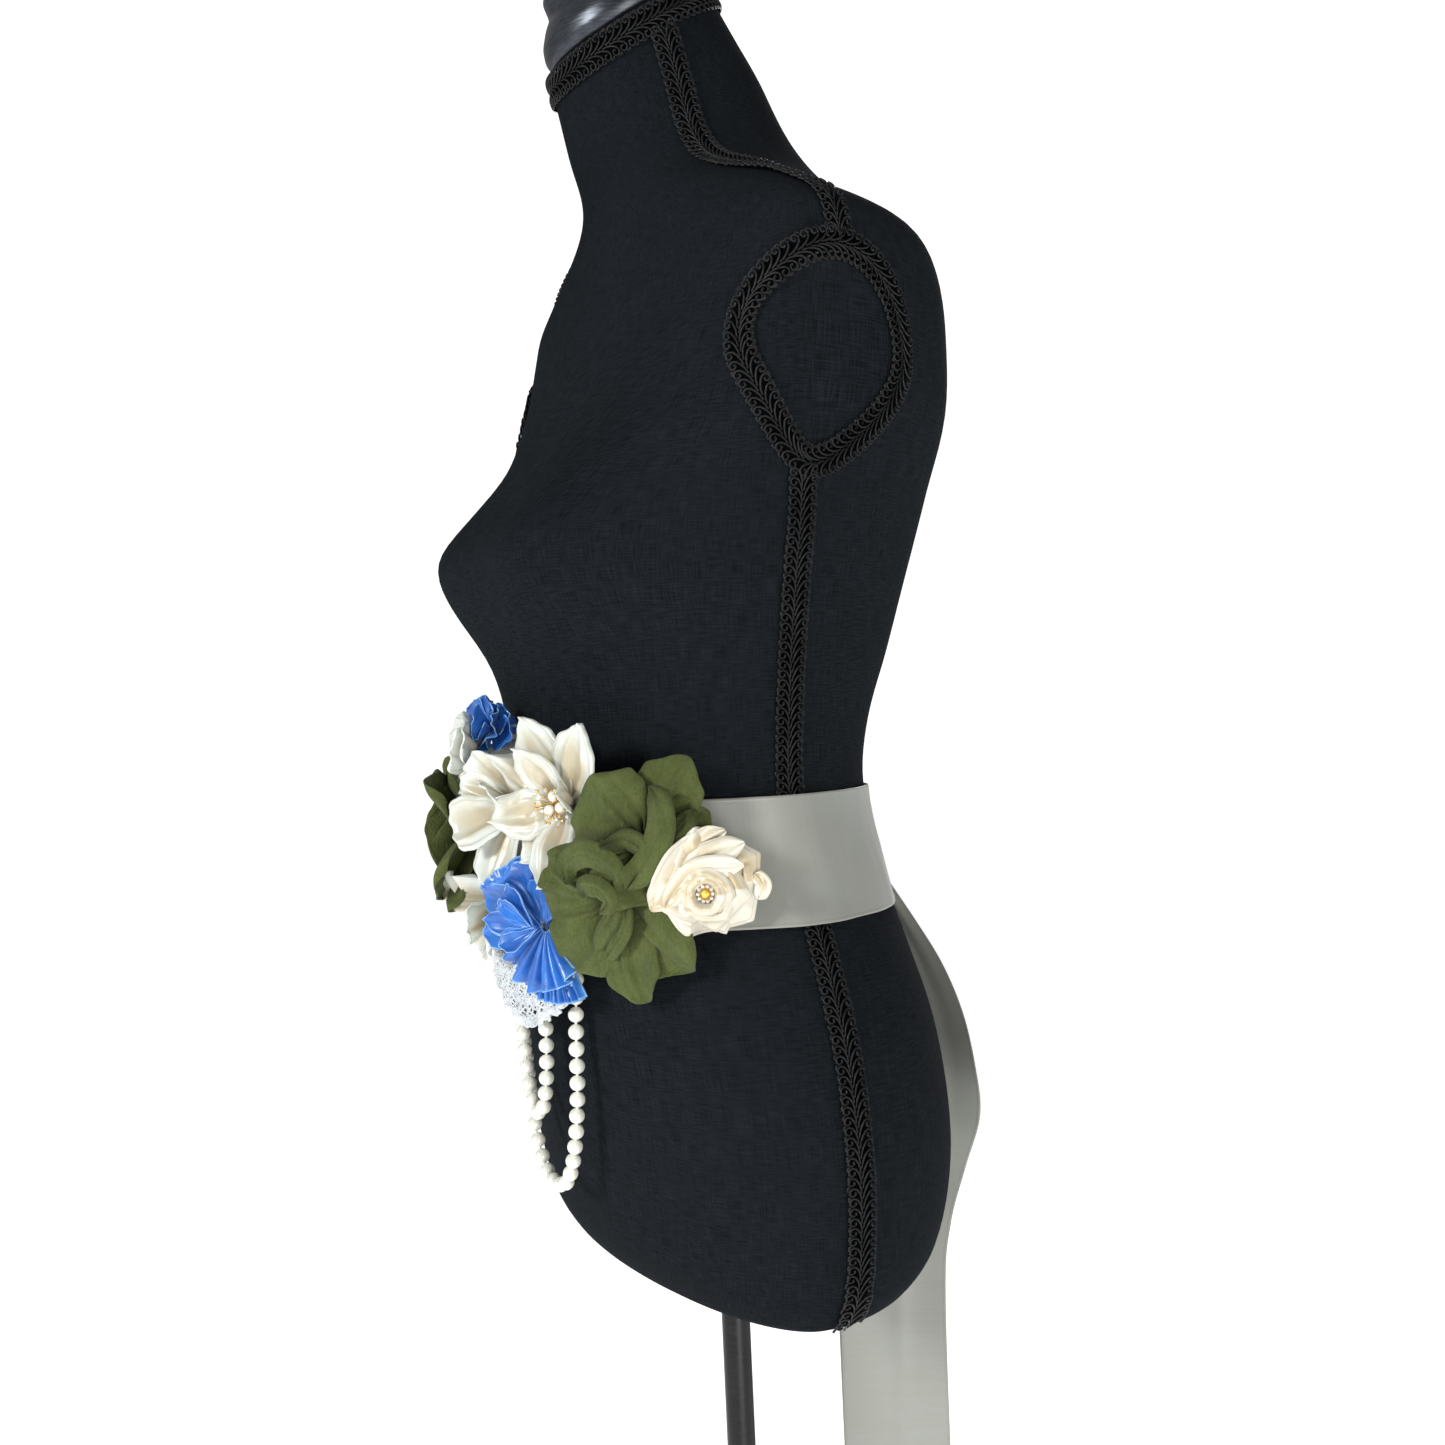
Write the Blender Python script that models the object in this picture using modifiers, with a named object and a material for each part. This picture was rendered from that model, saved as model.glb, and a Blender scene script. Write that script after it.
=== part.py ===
# A ribbon maternity sash with a cluster of cloth flowers, lace and pearl strands,
# worn on a limbless dress form that stands on a round base.
# Metres, +Z up. The form faces -Y and its left side is +X.
# The origin is the centre of the base's underside.

import math

import bmesh
import bpy
from mathutils import Matrix, Vector
from mathutils.bvhtree import BVHTree

# Driving dimensions
RIBBON_WIDTH = 0.0635
CLOTH = 0.0012
PETAL_CLOTH = 0.0011
SEAM_GAP = 0.0003
TRIM_GAP = 0.0006
PEARL_RADIUS = 0.004
PEARL_NECK = 0.0012
POLE_RADIUS = 0.008
BASE_RADIUS = 0.155
BASE_THICKNESS = 0.010
SOCKET_HEIGHT = 0.022
GIMP_WIDTH = 0.0150
GIMP_THICKNESS = 0.0022
GIMP_LIFT = 0.0006

# The form, in rings from the hem up. Each ring is half an ellipse in front of the
# side line and half behind it. The neck's rings tilt forward about their centres.
SIDE_LINE = -0.020
FORM_RINGS = [
    # height, half width, front, back, tilt in degrees, squareness (2 is an ellipse)
    (0.7950, 0.128, -0.062, 0.070, 0, 2.0),
    (0.8010, 0.140, -0.070, 0.083, 0, 2.0),
    (0.8180, 0.151, -0.0795, 0.097, 0, 2.0),
    (0.8500, 0.157, -0.0875, 0.107, 0, 2.0),
    (0.8850, 0.158, -0.0945, 0.108, 0, 2.0),
    (0.9300, 0.152, -0.1015, 0.102, 0, 2.0),
    (0.9700, 0.139, -0.1075, 0.091, 0, 2.0),
    (1.0000, 0.127, -0.1105, 0.083, 0, 2.0),
    (1.0300, 0.117, -0.1105, 0.0785, 0, 2.0),
    (1.0600, 0.112, -0.1090, 0.0760, 0, 2.0),
    (1.0900, 0.1145, -0.1100, 0.0815, 0, 2.0),
    (1.1250, 0.120, -0.1150, 0.096, 0, 2.0),
    (1.1600, 0.127, -0.1260, 0.1085, 0, 2.0),
    (1.1850, 0.133, -0.1290, 0.117, 0, 2.0),
    (1.2100, 0.1370, -0.1130, 0.1200, 0, 2.2),
    (1.2500, 0.1450, -0.0830, 0.1250, 0, 2.5),
    (1.2900, 0.1500, -0.0625, 0.1250, 0, 2.5),
    (1.3200, 0.1530, -0.0515, 0.1210, 0, 2.4),
    (1.3400, 0.1490, -0.0470, 0.1150, 0, 2.2),
    (1.3560, 0.126, -0.0455, 0.106, 0, 2.0),
    (1.3700, 0.098, -0.0480, 0.092, 0, 2.0),
    (1.3850, 0.074, -0.0530, 0.076, 2, 2.0),
    (1.4020, 0.060, -0.0600, 0.060, 10, 2.0),
    (1.4220, 0.0545, -0.0680, 0.052, 20, 2.0),
    (1.4480, 0.051, -0.0755, 0.0345, 27, 2.0),
    (1.4753, 0.048, -0.0831, 0.0165, 32, 2.0),
]
RING_POINTS = 32
BUST_HEIGHT = 1.178
BUST_SPREAD = 0.062
BUST_DEPTH = 0.017
ARMHOLE_Y = -0.0055
ARMHOLE_HEIGHT = 1.2635
ARMHOLE_HALF_WIDTH = 0.0440
ARMHOLE_HALF_HEIGHT = 0.0505
ARMHOLE_POINT_SHIFT = 0.010
ARMHOLE_POINTS = 32
ARMHOLE_PROFILE = [
    # place across the braid, lift
    (-1, 0.0017), (0, 0.0020), (1, 0.0017),
]

# The sash's ribbon lies level round the waist, over the side gimp.
BAND_TOP = 1.0535
BAND_LIFT = 0.0009
BACKING_LIFT = 0.0029
BACKING_THICKNESS = 0.0015
FLOWER_SEAT = BACKING_LIFT + BACKING_THICKNESS + 2 * SEAM_GAP

# The felt behind the flowers, and the lace below them.
BACKING_EDGE = [
    # azimuth in degrees, bottom, top
    (-22.5, 1.006, 1.058), (-15, 0.980, 1.084), (-7.5, 0.977, 1.099), (0, 0.977, 1.104),
    (7.5, 0.976, 1.101), (15, 0.977, 1.092), (22.5, 0.979, 1.081), (30, 0.981, 1.073),
    (37.5, 0.982, 1.070), (45, 0.984, 1.068), (52.5, 0.987, 1.060), (60, 0.993, 1.046),
    (67.5, 0.999, 1.030), (72, 1.003, 1.022),
]
LACE_EDGE = [
    # azimuth in degrees, top, bottom
    (-15, 0.986, 0.958), (-11.25, 0.986, 0.945), (-7.5, 0.986, 0.940), (0, 0.986, 0.935),
    (3.75, 0.986, 0.938), (7.5, 0.986, 0.935), (15, 0.985, 0.942), (18.75, 0.984, 0.948),
    (22.5, 0.984, 0.957),
]
PEARL_PITCH = 0.0089
PEARLS_OUTER = [
    (0.0440, -0.1075, 0.9775), (0.0428, -0.1088, 0.9400), (0.0390, -0.1080, 0.9050),
    (0.0310, -0.1075, 0.8750), (0.0195, -0.1070, 0.8570), (0.0050, -0.1070, 0.8520),
    (-0.0090, -0.1070, 0.8570), (-0.0200, -0.1075, 0.8750), (-0.0260, -0.1080, 0.9050),
    (-0.0285, -0.1095, 0.9400), (-0.0296, -0.1101, 0.9785),
]
PEARLS_INNER = [
    (0.0152, -0.1113, 0.9754), (0.0148, -0.1132, 0.9450), (0.0120, -0.1128, 0.9150),
    (0.0055, -0.1125, 0.8950), (-0.0025, -0.1125, 0.8886), (-0.0105, -0.1125, 0.8950),
    (-0.0165, -0.1128, 0.9150), (-0.0185, -0.1132, 0.9450), (-0.0168, -0.1113, 0.9765),
]
STEM_RADIUS = 0.0050
STEM_SIDES = 8

FINISHES = {
    # linear colour, roughness, metallic
    "form_cloth": ((0.016, 0.018, 0.021), 0.95, 0.0),
    "gimp_black": ((0.008, 0.009, 0.010), 0.75, 0.0),
    "stand_metal": ((0.006, 0.006, 0.006), 0.35, 0.6),
    "cap_metal": ((0.06, 0.065, 0.075), 0.35, 0.7),
    "ivory_ribbon": ((0.60, 0.61, 0.56), 0.45, 0.0),
    "ivory_felt": ((0.62, 0.62, 0.56), 0.95, 0.0),
    "ivory_satin": ((0.80, 0.82, 0.74), 0.35, 0.0),
    "cream_satin": ((0.72, 0.70, 0.58), 0.35, 0.0),
    "olive_chiffon": ((0.125, 0.155, 0.06), 0.85, 0.0),
    "blue_satin": ((0.05, 0.24, 0.74), 0.30, 0.0),
    "white_lace": ((0.80, 0.84, 0.86), 0.90, 0.0),
    "pearl": ((0.66, 0.72, 0.64), 0.25, 0.0),
    "gold": ((0.70, 0.50, 0.16), 0.30, 1.0),
}

# Each tail hangs from the knot: its rows give where the ribbon's middle is, which way
# its width points in degrees from +X toward +Y, and how wide it lies there.
TAIL_LEFT = [
    # height, middle x, middle y, turn, width
    (0.9972, 0.0100, 0.0955, 8, 0.030),
    (0.9700, 0.0180, 0.1045, 12, 0.046),
    (0.9450, 0.0240, 0.1125, 14, 0.058),
    (0.9170, 0.0300, 0.1190, 14, 0.0625),
    (0.8870, 0.0350, 0.1205, 16, 0.0635),
    (0.8550, 0.0265, 0.1245, 27, 0.0635),
    (0.8200, 0.0110, 0.1215, 38, 0.0635),
    (0.7850, 0.0050, 0.1120, 48, 0.0635),
    (0.7400, 0.0030, 0.1070, 56, 0.0635),
    (0.6000, 0.0020, 0.1060, 60, 0.0635),
    (0.4500, 0.0020, 0.1055, 62, 0.0635),
    (0.3000, 0.0010, 0.1060, 61, 0.0635),
]
TAIL_RIGHT = [
    # height, middle x, middle y, turn, width
    (0.9972, -0.0090, 0.0900, -8, 0.030),
    (0.9700, -0.0240, 0.1000, -10, 0.044),
    (0.9450, -0.0335, 0.1075, -8, 0.054),
    (0.9170, -0.0345, 0.1140, -2, 0.0600),
    (0.8870, -0.0350, 0.1190, 5, 0.0620),
    (0.8550, -0.0290, 0.1240, 18, 0.0635),
    (0.8200, -0.0260, 0.1270, 32, 0.0635),
    (0.7850, -0.0220, 0.1240, 46, 0.0635),
    (0.7400, -0.0200, 0.1210, 54, 0.0635),
    (0.6000, -0.0190, 0.1200, 58, 0.0635),
    (0.4700, -0.0190, 0.1200, 57, 0.0635),
    (0.3600, -0.0200, 0.1200, 59, 0.0635),
]

# A petal runs out from its flower's middle. Along it, each kind has its own width.
PETAL_SHARES = {
    # share of the length: share of the width
    "pointed": [(0.0, 0.34), (0.34, 0.92), (0.70, 0.88), (1.0, 0.08)],
    "round": [(0.0, 0.28), (0.38, 0.86), (0.76, 1.0), (1.0, 0.56)],
    "folded": [(0.0, 0.40), (0.50, 0.84), (1.0, 1.0)],
}
END_CURVE = {"pointed": 0.0, "round": 0.12, "folded": 0.0}
PETAL_COLUMNS = (-1.0, -0.4, 0.4, 1.0)

# The flowers, those that lie on top of their neighbours first. Each has its place on the
# form (x and height), how far its heart stands off the form, where it faces in degrees
# from the front toward +X and up from level, and its petals:
# angle, length, width, lift, curl, cup, wave, height above the heart.
FLOWERS = {
    "rose": {
        "place": (0.1085, 1.0085, 0.0150), "facing": (52, 0), "kind": "folded", "finish": "cream_satin",
        "heart": 0.0060, "hub": 0.003,
        "inner": [
            (20, 0.015, 0.019, 42, 34, 0.10, 0.0, 0.0), (92, 0.015, 0.019, 42, 34, 0.10, 0.0, 0.0),
            (164, 0.015, 0.019, 42, 34, 0.10, 0.0, 0.0), (236, 0.015, 0.019, 42, 34, 0.10, 0.0, 0.0),
            (308, 0.015, 0.019, 42, 34, 0.10, 0.0, 0.0),
        ],
        "petals": [
            (76, 0.032, 0.026, 10, 0, 0.02, 0.000, -0.003),
            (50, 0.031, 0.026, 14, 0, 0.02, 0.000, -0.001),
            (12, 0.027, 0.026, 12, 0, 0.02, 0.000, -0.003),
            (335, 0.025, 0.024, 16, 0, 0.02, 0.000, -0.001),
            (290, 0.021, 0.022, 14, 0, 0.02, 0.000, -0.003),
            (248, 0.021, 0.022, 18, 0, 0.02, 0.000, -0.001),
            (200, 0.026, 0.026, 12, 0, 0.02, 0.000, -0.003),
            (155, 0.022, 0.024, 16, 0, 0.02, 0.000, -0.001),
            (110, 0.027, 0.026, 16, 0, 0.02, 0.000, -0.002),
        ],
    },
    "green_upper": {
        "place": (0.0865, 1.033, 0.0180), "facing": (40, 4), "kind": "round", "finish": "olive_chiffon",
        "heart": 0.0060, "hub": 0.002,
        "petals": [
            (136, 0.040, 0.043, 24, -14, 0.10, 0.003, 0.002),
            (68, 0.043, 0.036, 8, -8, 0.12, 0.003, -0.002),
            (20, 0.032, 0.030, 12, -12, 0.14, -0.003, -0.001),
            (246, 0.034, 0.026, 30, -34, 0.25, 0.002, 0.003),
            (100, 0.030, 0.024, 48, -20, 0.35, 0.000, 0.002),
        ],
    },
    "green_lower": {
        "place": (0.0785, 1.008, 0.0170), "facing": (31, -4), "kind": "round", "finish": "olive_chiffon",
        "heart": 0.0060, "hub": 0.002,
        "petals": [
            (132, 0.037, 0.032, 24, -8, 0.16, 0.002, 0.000),
            (184, 0.037, 0.037, 16, -10, 0.10, -0.003, 0.001),
            (231, 0.041, 0.038, 10, -8, 0.10, 0.003, -0.001),
            (284, 0.047, 0.034, 12, -8, 0.12, -0.002, 0.000),
            (328, 0.044, 0.034, 8, -8, 0.14, 0.002, -0.002),
            (74, 0.026, 0.034, 46, -16, 0.30, 0.000, 0.002),
            (160, 0.020, 0.018, 54, -10, 0.60, 0.000, 0.003),
        ],
    },
    "ivory_main": {
        "place": (0.0540, 1.052, 0.0190), "facing": (24, 6), "kind": "pointed", "finish": "ivory_satin",
        "heart": 0.0060, "hub": 0.002,
        "petals": [
            (61, 0.045, 0.034, 18, 4, 0.42, 0.0, 0.000),
            (114, 0.048, 0.032, 16, 4, 0.42, 0.0, -0.001),
            (114, 0.035, 0.022, 36, 6, 0.50, 0.0, 0.002),
            (146, 0.043, 0.029, 12, 2, 0.40, 0.0, -0.002),
            (193, 0.040, 0.030, 18, 4, 0.42, 0.0, 0.000),
            (230, 0.037, 0.028, 8, 2, 0.40, 0.0, -0.002),
            (266, 0.042, 0.030, 18, 4, 0.42, 0.0, 0.000),
            (312, 0.038, 0.028, 16, 4, 0.42, 0.0, -0.001),
            (14, 0.030, 0.024, 26, 10, 0.50, 0.0, 0.001),
        ],
    },
    "ivory_second": {
        "place": (0.0220, 1.050, 0.0200), "facing": (8, 2), "kind": "round", "finish": "ivory_satin",
        "heart": 0.0050, "hub": 0.002,
        "petals": [
            (96, 0.036, 0.038, 26, 10, 0.24, 0.000, 0.000),
            (150, 0.034, 0.026, 34, 0, 0.20, 0.000, 0.001),
            (196, 0.034, 0.030, 36, 6, 0.45, 0.000, 0.002),
            (258, 0.043, 0.036, 20, 0, 0.24, 0.000, 0.000),
            (318, 0.032, 0.032, 10, 0, 0.20, 0.000, -0.001),
            (30, 0.032, 0.032, 10, 0, 0.20, 0.000, -0.001),
        ],
    },
    "green_far": {
        "place": (-0.0300, 1.036, 0.0180), "facing": (-12, 0), "kind": "round", "finish": "olive_chiffon",
        "heart": 0.0060, "hub": 0.002,
        "petals": [
            (80, 0.046, 0.038, 40, -6, 0.12, 0.003, 0.000),
            (132, 0.040, 0.036, 26, -8, 0.12, -0.003, 0.001),
            (182, 0.038, 0.036, 20, -8, 0.12, 0.003, 0.000),
            (232, 0.040, 0.036, 24, -8, 0.12, -0.003, 0.000),
            (280, 0.047, 0.040, 40, -6, 0.12, 0.003, 0.001),
            (26, 0.040, 0.038, 60, -10, 0.16, 0.002, 0.001),
            (332, 0.040, 0.038, 60, -10, 0.16, 0.002, 0.001),
        ],
    },
    "ivory_far": {
        "place": (-0.0080, 1.078, 0.0200), "facing": (-3, 10), "kind": "round", "finish": "ivory_satin",
        "heart": 0.0050, "hub": 0.002,
        "petals": [
            (95, 0.028, 0.028, 46, 0, 0.30, 0.000, 0.001),
            (165, 0.030, 0.030, 34, 0, 0.26, 0.000, 0.000),
            (235, 0.028, 0.030, 30, 0, 0.26, 0.000, 0.000),
            (300, 0.026, 0.028, 30, 0, 0.26, 0.000, -0.001),
            (20, 0.030, 0.030, 38, 0, 0.30, 0.000, 0.000),
        ],
    },
    "ivory_low": {
        "place": (-0.0140, 0.9985, 0.0150), "facing": (-6, -8), "kind": "round", "finish": "ivory_satin",
        "heart": 0.0050, "hub": 0.002,
        "petals": [
            (85, 0.025, 0.028, 26, 0, 0.26, 0.000, 0.000),
            (158, 0.027, 0.030, 28, 0, 0.26, 0.000, 0.001),
            (230, 0.028, 0.030, 28, 0, 0.26, 0.000, 0.000),
            (300, 0.029, 0.030, 28, 0, 0.26, 0.000, 0.001),
            (15, 0.026, 0.028, 24, 0, 0.26, 0.000, -0.001),
        ],
    },
}

# The gathered flowers are pleated discs. Each layer is a ring of pleats:
# radius, pleats, pleat height, lift, curl, height above the heart.
GATHERED = {
    "blue_front": {
        "place": (0.0350, 0.9950, 0.0160), "facing": (16, -4), "finish": "blue_satin", "heart": 0.0060,
        "layers": [
            (0.0335, 15, 0.0042, 14, -6, 0.000),
            (0.0215, 9, 0.0036, 38, 0, 0.004),
        ],
    },
    "blue_far": {
        "place": (-0.0020, 1.0990, 0.0200), "facing": (0, 14), "finish": "blue_satin", "heart": 0.0060,
        "layers": [
            (0.0240, 12, 0.0034, 30, 0, 0.000),
        ],
    },
}
BUILD_ORDER = [
    "rose", "green_upper", "green_lower", "ivory_main", "blue_front", "ivory_second",
    "green_far", "ivory_far", "blue_far", "ivory_low",
]


def clear_scene():
    for thing in list(bpy.data.objects):
        bpy.data.objects.remove(thing)


def new_collection(name):
    made = bpy.data.collections.new(name)
    bpy.context.scene.collection.children.link(made)
    return made


def new_material(name, colour, roughness, metallic=0.0):
    made = bpy.data.materials.new(name)
    made.use_nodes = True
    shader = made.node_tree.nodes["Principled BSDF"]
    shader.inputs["Base Color"].default_value = (*colour, 1.0)
    shader.inputs["Roughness"].default_value = roughness
    shader.inputs["Metallic"].default_value = metallic
    made.diffuse_color = (*colour, 1.0)
    return made


def new_object(name, mesh, finish, collection=None, sharp=45):
    mesh.materials.clear()
    mesh.materials.append(finishes[finish])
    mesh.shade_smooth()
    mesh.set_sharp_from_angle(angle=math.radians(sharp))
    made = bpy.data.objects.new(name, mesh)
    (collection or sash).objects.link(made)
    if collection == helpers:
        made.hide_render = True
        made.display_type = "WIRE"
    return made


def add_cloth(made, thickness, offset):
    solid = made.modifiers.new("Cloth", "SOLIDIFY")
    solid.thickness = thickness
    solid.offset = offset
    return made


def loft(name, rings, finish):
    # A closed solid through rings of equal count, its ends closed with fans.
    count = len(rings[0])
    verts = [p for ring in rings for p in ring]
    faces = []
    for i in range(len(rings) - 1):
        for j in range(count):
            k = (j + 1) % count
            faces.append((i * count + j, i * count + k, (i + 1) * count + k, (i + 1) * count + j))
    for start in (0, (len(rings) - 1) * count):
        ring = verts[start:start + count]
        verts.append(sum((Vector(p) for p in ring), Vector()) / count)
        faces += [(start + j, start + (j + 1) % count, len(verts) - 1) for j in range(count)]
    mesh = bpy.data.meshes.new(name)
    mesh.from_pydata([tuple(v) for v in verts], [], faces)
    bm = bmesh.new()
    bm.from_mesh(mesh)
    bmesh.ops.recalc_face_normals(bm, faces=bm.faces)
    bm.to_mesh(mesh)
    bm.free()
    return new_object(name, mesh, finish)


def sheet_mesh(name, rows, joined=False, outward=None):
    # An open surface through rows of points. Its first face looks along outward.
    width = len(rows[0])
    verts = [tuple(p) for row in rows for p in row]
    faces = []
    for i in range(len(rows) if joined else len(rows) - 1):
        low = i * width
        high = (i + 1) % len(rows) * width
        for j in range(width - 1):
            faces.append((low + j, low + j + 1, high + j + 1, high + j))
    mesh = bpy.data.meshes.new(name)
    mesh.from_pydata(verts, [], faces)
    first = mesh.polygons[0]
    if outward is not None and first.normal.dot(outward(first.center)) < 0:
        mesh.flip_normals()
    return mesh


def wall(name, rows, thickness, finish, joined=False):
    # A sheet on the form, given its thickness on the outer side.
    return add_cloth(new_object(name, sheet_mesh(name, rows, joined, away), finish), thickness, 1.0)


def away(point):
    return Vector((point[0], point[1] - SIDE_LINE, 0))


def spline(points, samples):
    # Points on a smooth curve through the given ones.
    made = []
    last = len(points) - 1
    for step in range(samples + 1):
        place = step / samples * last
        i = min(int(place), last - 1)
        t = place - i
        a = Vector(points[max(i - 1, 0)])
        b = Vector(points[i])
        c = Vector(points[i + 1])
        d = Vector(points[min(i + 2, last)])
        made.append(
            0.5 * (2 * b + (c - a) * t + (2 * a - 5 * b + 4 * c - d) * t * t
                   + (3 * b - a - 3 * c + d) * t ** 3)
        )
    return made


def between(rows, height):
    # A row of a table that is sorted by height, worked out between its neighbours.
    for low, high in zip(rows, rows[1:]):
        if height <= high[0]:
            t = max(0.0, (height - low[0]) / (high[0] - low[0]))
            return tuple(a + (b - a) * t for a, b in zip(low, high))
    return rows[-1]


def bust(x, height):
    rise = math.exp(-(((height - BUST_HEIGHT) / 0.040) ** 2))
    lobes = sum(math.exp(-(((x - side * BUST_SPREAD) / 0.042) ** 2)) for side in (-1, 1))
    return BUST_DEPTH * rise * lobes


def ring_point(row, azimuth):
    # Azimuth 0 is the front, 90 degrees the form's left side and 180 the back.
    height, half_width, front, back, tilt, power = row
    side = SIDE_LINE if tilt == 0 else (front + back) / 2
    across = math.sin(azimuth)
    along = math.cos(azimuth)
    x = half_width * math.copysign(abs(across) ** (2 / power), across)
    reach = abs(along) ** (2 / power)
    y = side + (front - side) * reach if along > 0 else side + (back - side) * reach
    if along > 0 and tilt == 0:
        y -= bust(x, height) * min(1.0, along * 2.5)
    centre = (front + back) / 2
    turn = math.radians(tilt)
    return Vector((x, centre + (y - centre) * math.cos(turn), height + (y - centre) * math.sin(turn)))


def skin(azimuth, height, lift):
    # A point at a height over the form, moved straight out from it.
    row = between(FORM_RINGS, height)
    step = 0.02
    along = ring_point(row, azimuth + step) - ring_point(row, azimuth - step)
    return ring_point(row, azimuth) + Vector((along.y, -along.x, 0)).normalized() * lift


def azimuth_at(x, height):
    return math.asin(max(-1.0, min(1.0, x / between(FORM_RINGS, height)[1])))


def ring_azimuths():
    return [2 * math.pi * i / RING_POINTS for i in range(RING_POINTS)]


def make_form():
    rings = [[ring_point(row, azimuth) for azimuth in ring_azimuths()] for row in FORM_RINGS]
    return loft("form_body", rings, "form_cloth")


def turned(name, profile, finish, steps):
    # A turned solid. Its profile runs down the outer side and ends on the axis.
    mesh = bpy.data.meshes.new(name)
    mesh.from_pydata([(r, 0, z) for r, z in profile], [(i, i + 1) for i in range(len(profile) - 1)], [])
    made = new_object(name, mesh, finish)
    screw = made.modifiers.new("Turn", "SCREW")
    screw.steps = steps
    screw.render_steps = steps
    screw.use_merge_vertices = True
    screw.merge_threshold = 0.00001
    return made


def make_stand():
    socket_top = BASE_THICKNESS + SOCKET_HEIGHT
    turned("base", [
        (0, socket_top), (0.014, socket_top), (0.016, socket_top - 0.003), (0.018, BASE_THICKNESS + 0.003),
        (0.024, BASE_THICKNESS), (BASE_RADIUS - 0.006, BASE_THICKNESS - 0.002),
        (BASE_RADIUS, BASE_THICKNESS - 0.006), (BASE_RADIUS, 0), (0, 0),
    ], "stand_metal", 28)
    top = FORM_RINGS[0][0] - SEAM_GAP
    bottom = socket_top + SEAM_GAP
    turned("pole", [(0, top), (POLE_RADIUS, top), (POLE_RADIUS, bottom), (0, bottom)], "stand_metal", 16)


def make_neck_cap():
    # A turned finial on the neck's tilted top.
    cap = turned("neck_cap", [
        (0, 0.066), (0.007, 0.065), (0.013, 0.060), (0.0145, 0.053), (0.012, 0.046), (0.009, 0.042),
        (0.012, 0.039), (0.029, 0.037), (0.033, 0.033), (0.034, 0.024), (0.039, 0.020), (0.045, 0.013),
        (0.0475, 0.006), (0.0465, 0), (0, 0),
    ], "cap_metal", 18)
    height, _, front, back, tilt, _ = FORM_RINGS[-1]
    turn = math.radians(tilt)
    up = Vector((0, -math.sin(turn), math.cos(turn)))
    cap.location = Vector((0, (front + back) / 2, height)) + up * SEAM_GAP
    cap.rotation_euler = (turn, 0, 0)


def on_form(point, lift):
    place, normal, _, _ = form_tree.find_nearest(point)
    return place + normal * lift


def make_gimp():
    # Round the top of the neck.
    rows = []
    for azimuth in ring_azimuths():
        top = ring_point(FORM_RINGS[-1], azimuth)
        down = (ring_point(FORM_RINGS[-2], azimuth) - top).normalized()
        rows.append([on_form(top + down * d, GIMP_LIFT) for d in (0.0012, 0.0175)])
    wall("gimp_neck", rows, GIMP_THICKNESS, "gimp_black", True)

    for label, side in (("left", 1), ("right", -1)):
        # An egg-shaped ring round the arm plate, its point down.
        ring = []
        for i in range(ARMHOLE_POINTS):
            turn = 2 * math.pi * i / ARMHOLE_POINTS
            low = max(0.0, -math.cos(turn))
            y = ARMHOLE_Y + ARMHOLE_HALF_WIDTH * math.sin(turn) * (1 - 0.40 * low ** 1.5)
            y -= ARMHOLE_POINT_SHIFT * low ** 2
            z = ARMHOLE_HEIGHT + ARMHOLE_HALF_HEIGHT * math.cos(turn)
            ring.append(form_tree.ray_cast(Vector((side * 0.30, y, z)), Vector((-side, 0, 0)))[0])
        rows = []
        for i, here in enumerate(ring):
            ahead = (ring[(i + 1) % ARMHOLE_POINTS] - ring[i - 1]).normalized()
            across = ahead.cross(Vector((side, 0, 0))).normalized() * GIMP_WIDTH / 2
            rows.append([on_form(here + across * j, lift) for j, lift in ARMHOLE_PROFILE])
        wall(f"gimp_armhole_{label}", rows, GIMP_THICKNESS, "gimp_black", True)

        # Down the side seam from the armhole, under the ribbon, to the hem.
        rows = []
        for row in FORM_RINGS:
            if 0.80 < row[0] < 1.19:
                middle = ring_point(row, side * math.pi / 2)
                half = Vector((0, GIMP_WIDTH / 2, 0))
                rows.append([on_form(middle + half * j, GIMP_LIFT) for j in (-1, 0, 1)])
        wall(f"gimp_side_{label}", rows, GIMP_THICKNESS, "gimp_black")

        # Along the shoulder and up the side of the neck.
        line = spline([
            (side * 0.1530, -0.007, 1.3355), (side * 0.146, -0.011, 1.345), (side * 0.130, -0.018, 1.353),
            (side * 0.108, -0.022, 1.362), (side * 0.084, -0.024, 1.376), (side * 0.064, -0.024, 1.390),
            (side * 0.055, -0.026, 1.405), (side * 0.0515, -0.029, 1.424), (side * 0.0495, -0.034, 1.446),
        ], 14)
        rows = []
        for here in line:
            half = Vector((0, GIMP_WIDTH / 2, 0))
            rows.append([on_form(here + half * j, GIMP_LIFT + 0.0006) for j in (-1, 0, 1)])
        mesh = sheet_mesh(f"gimp_shoulder_{label}", rows, False, lambda p: Vector((p[0], 0, 0.2)))
        add_cloth(new_object(mesh.name, mesh, "gimp_black"), GIMP_THICKNESS, 1.0)


def band_lift(azimuth):
    # The ribbon rides over the side gimp.
    over_gimp = GIMP_LIFT + GIMP_THICKNESS + SEAM_GAP + 0.0003
    lift = BAND_LIFT
    for side in (math.pi / 2, 3 * math.pi / 2):
        off_side = abs((azimuth - side + math.pi) % (2 * math.pi) - math.pi)
        lift += (over_gimp - BAND_LIFT) * math.exp(-((off_side / 0.20) ** 4))
    return lift


def make_band():
    rows = []
    heights = [BAND_TOP, 1.030, 1.000, BAND_TOP - RIBBON_WIDTH * 0.98]
    for i in range(48):
        azimuth = 2 * math.pi * i / 48
        rows.append([skin(azimuth, z, band_lift(azimuth)) for z in heights])
    wall("sash_band", rows, CLOTH, "ivory_ribbon", True)


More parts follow.
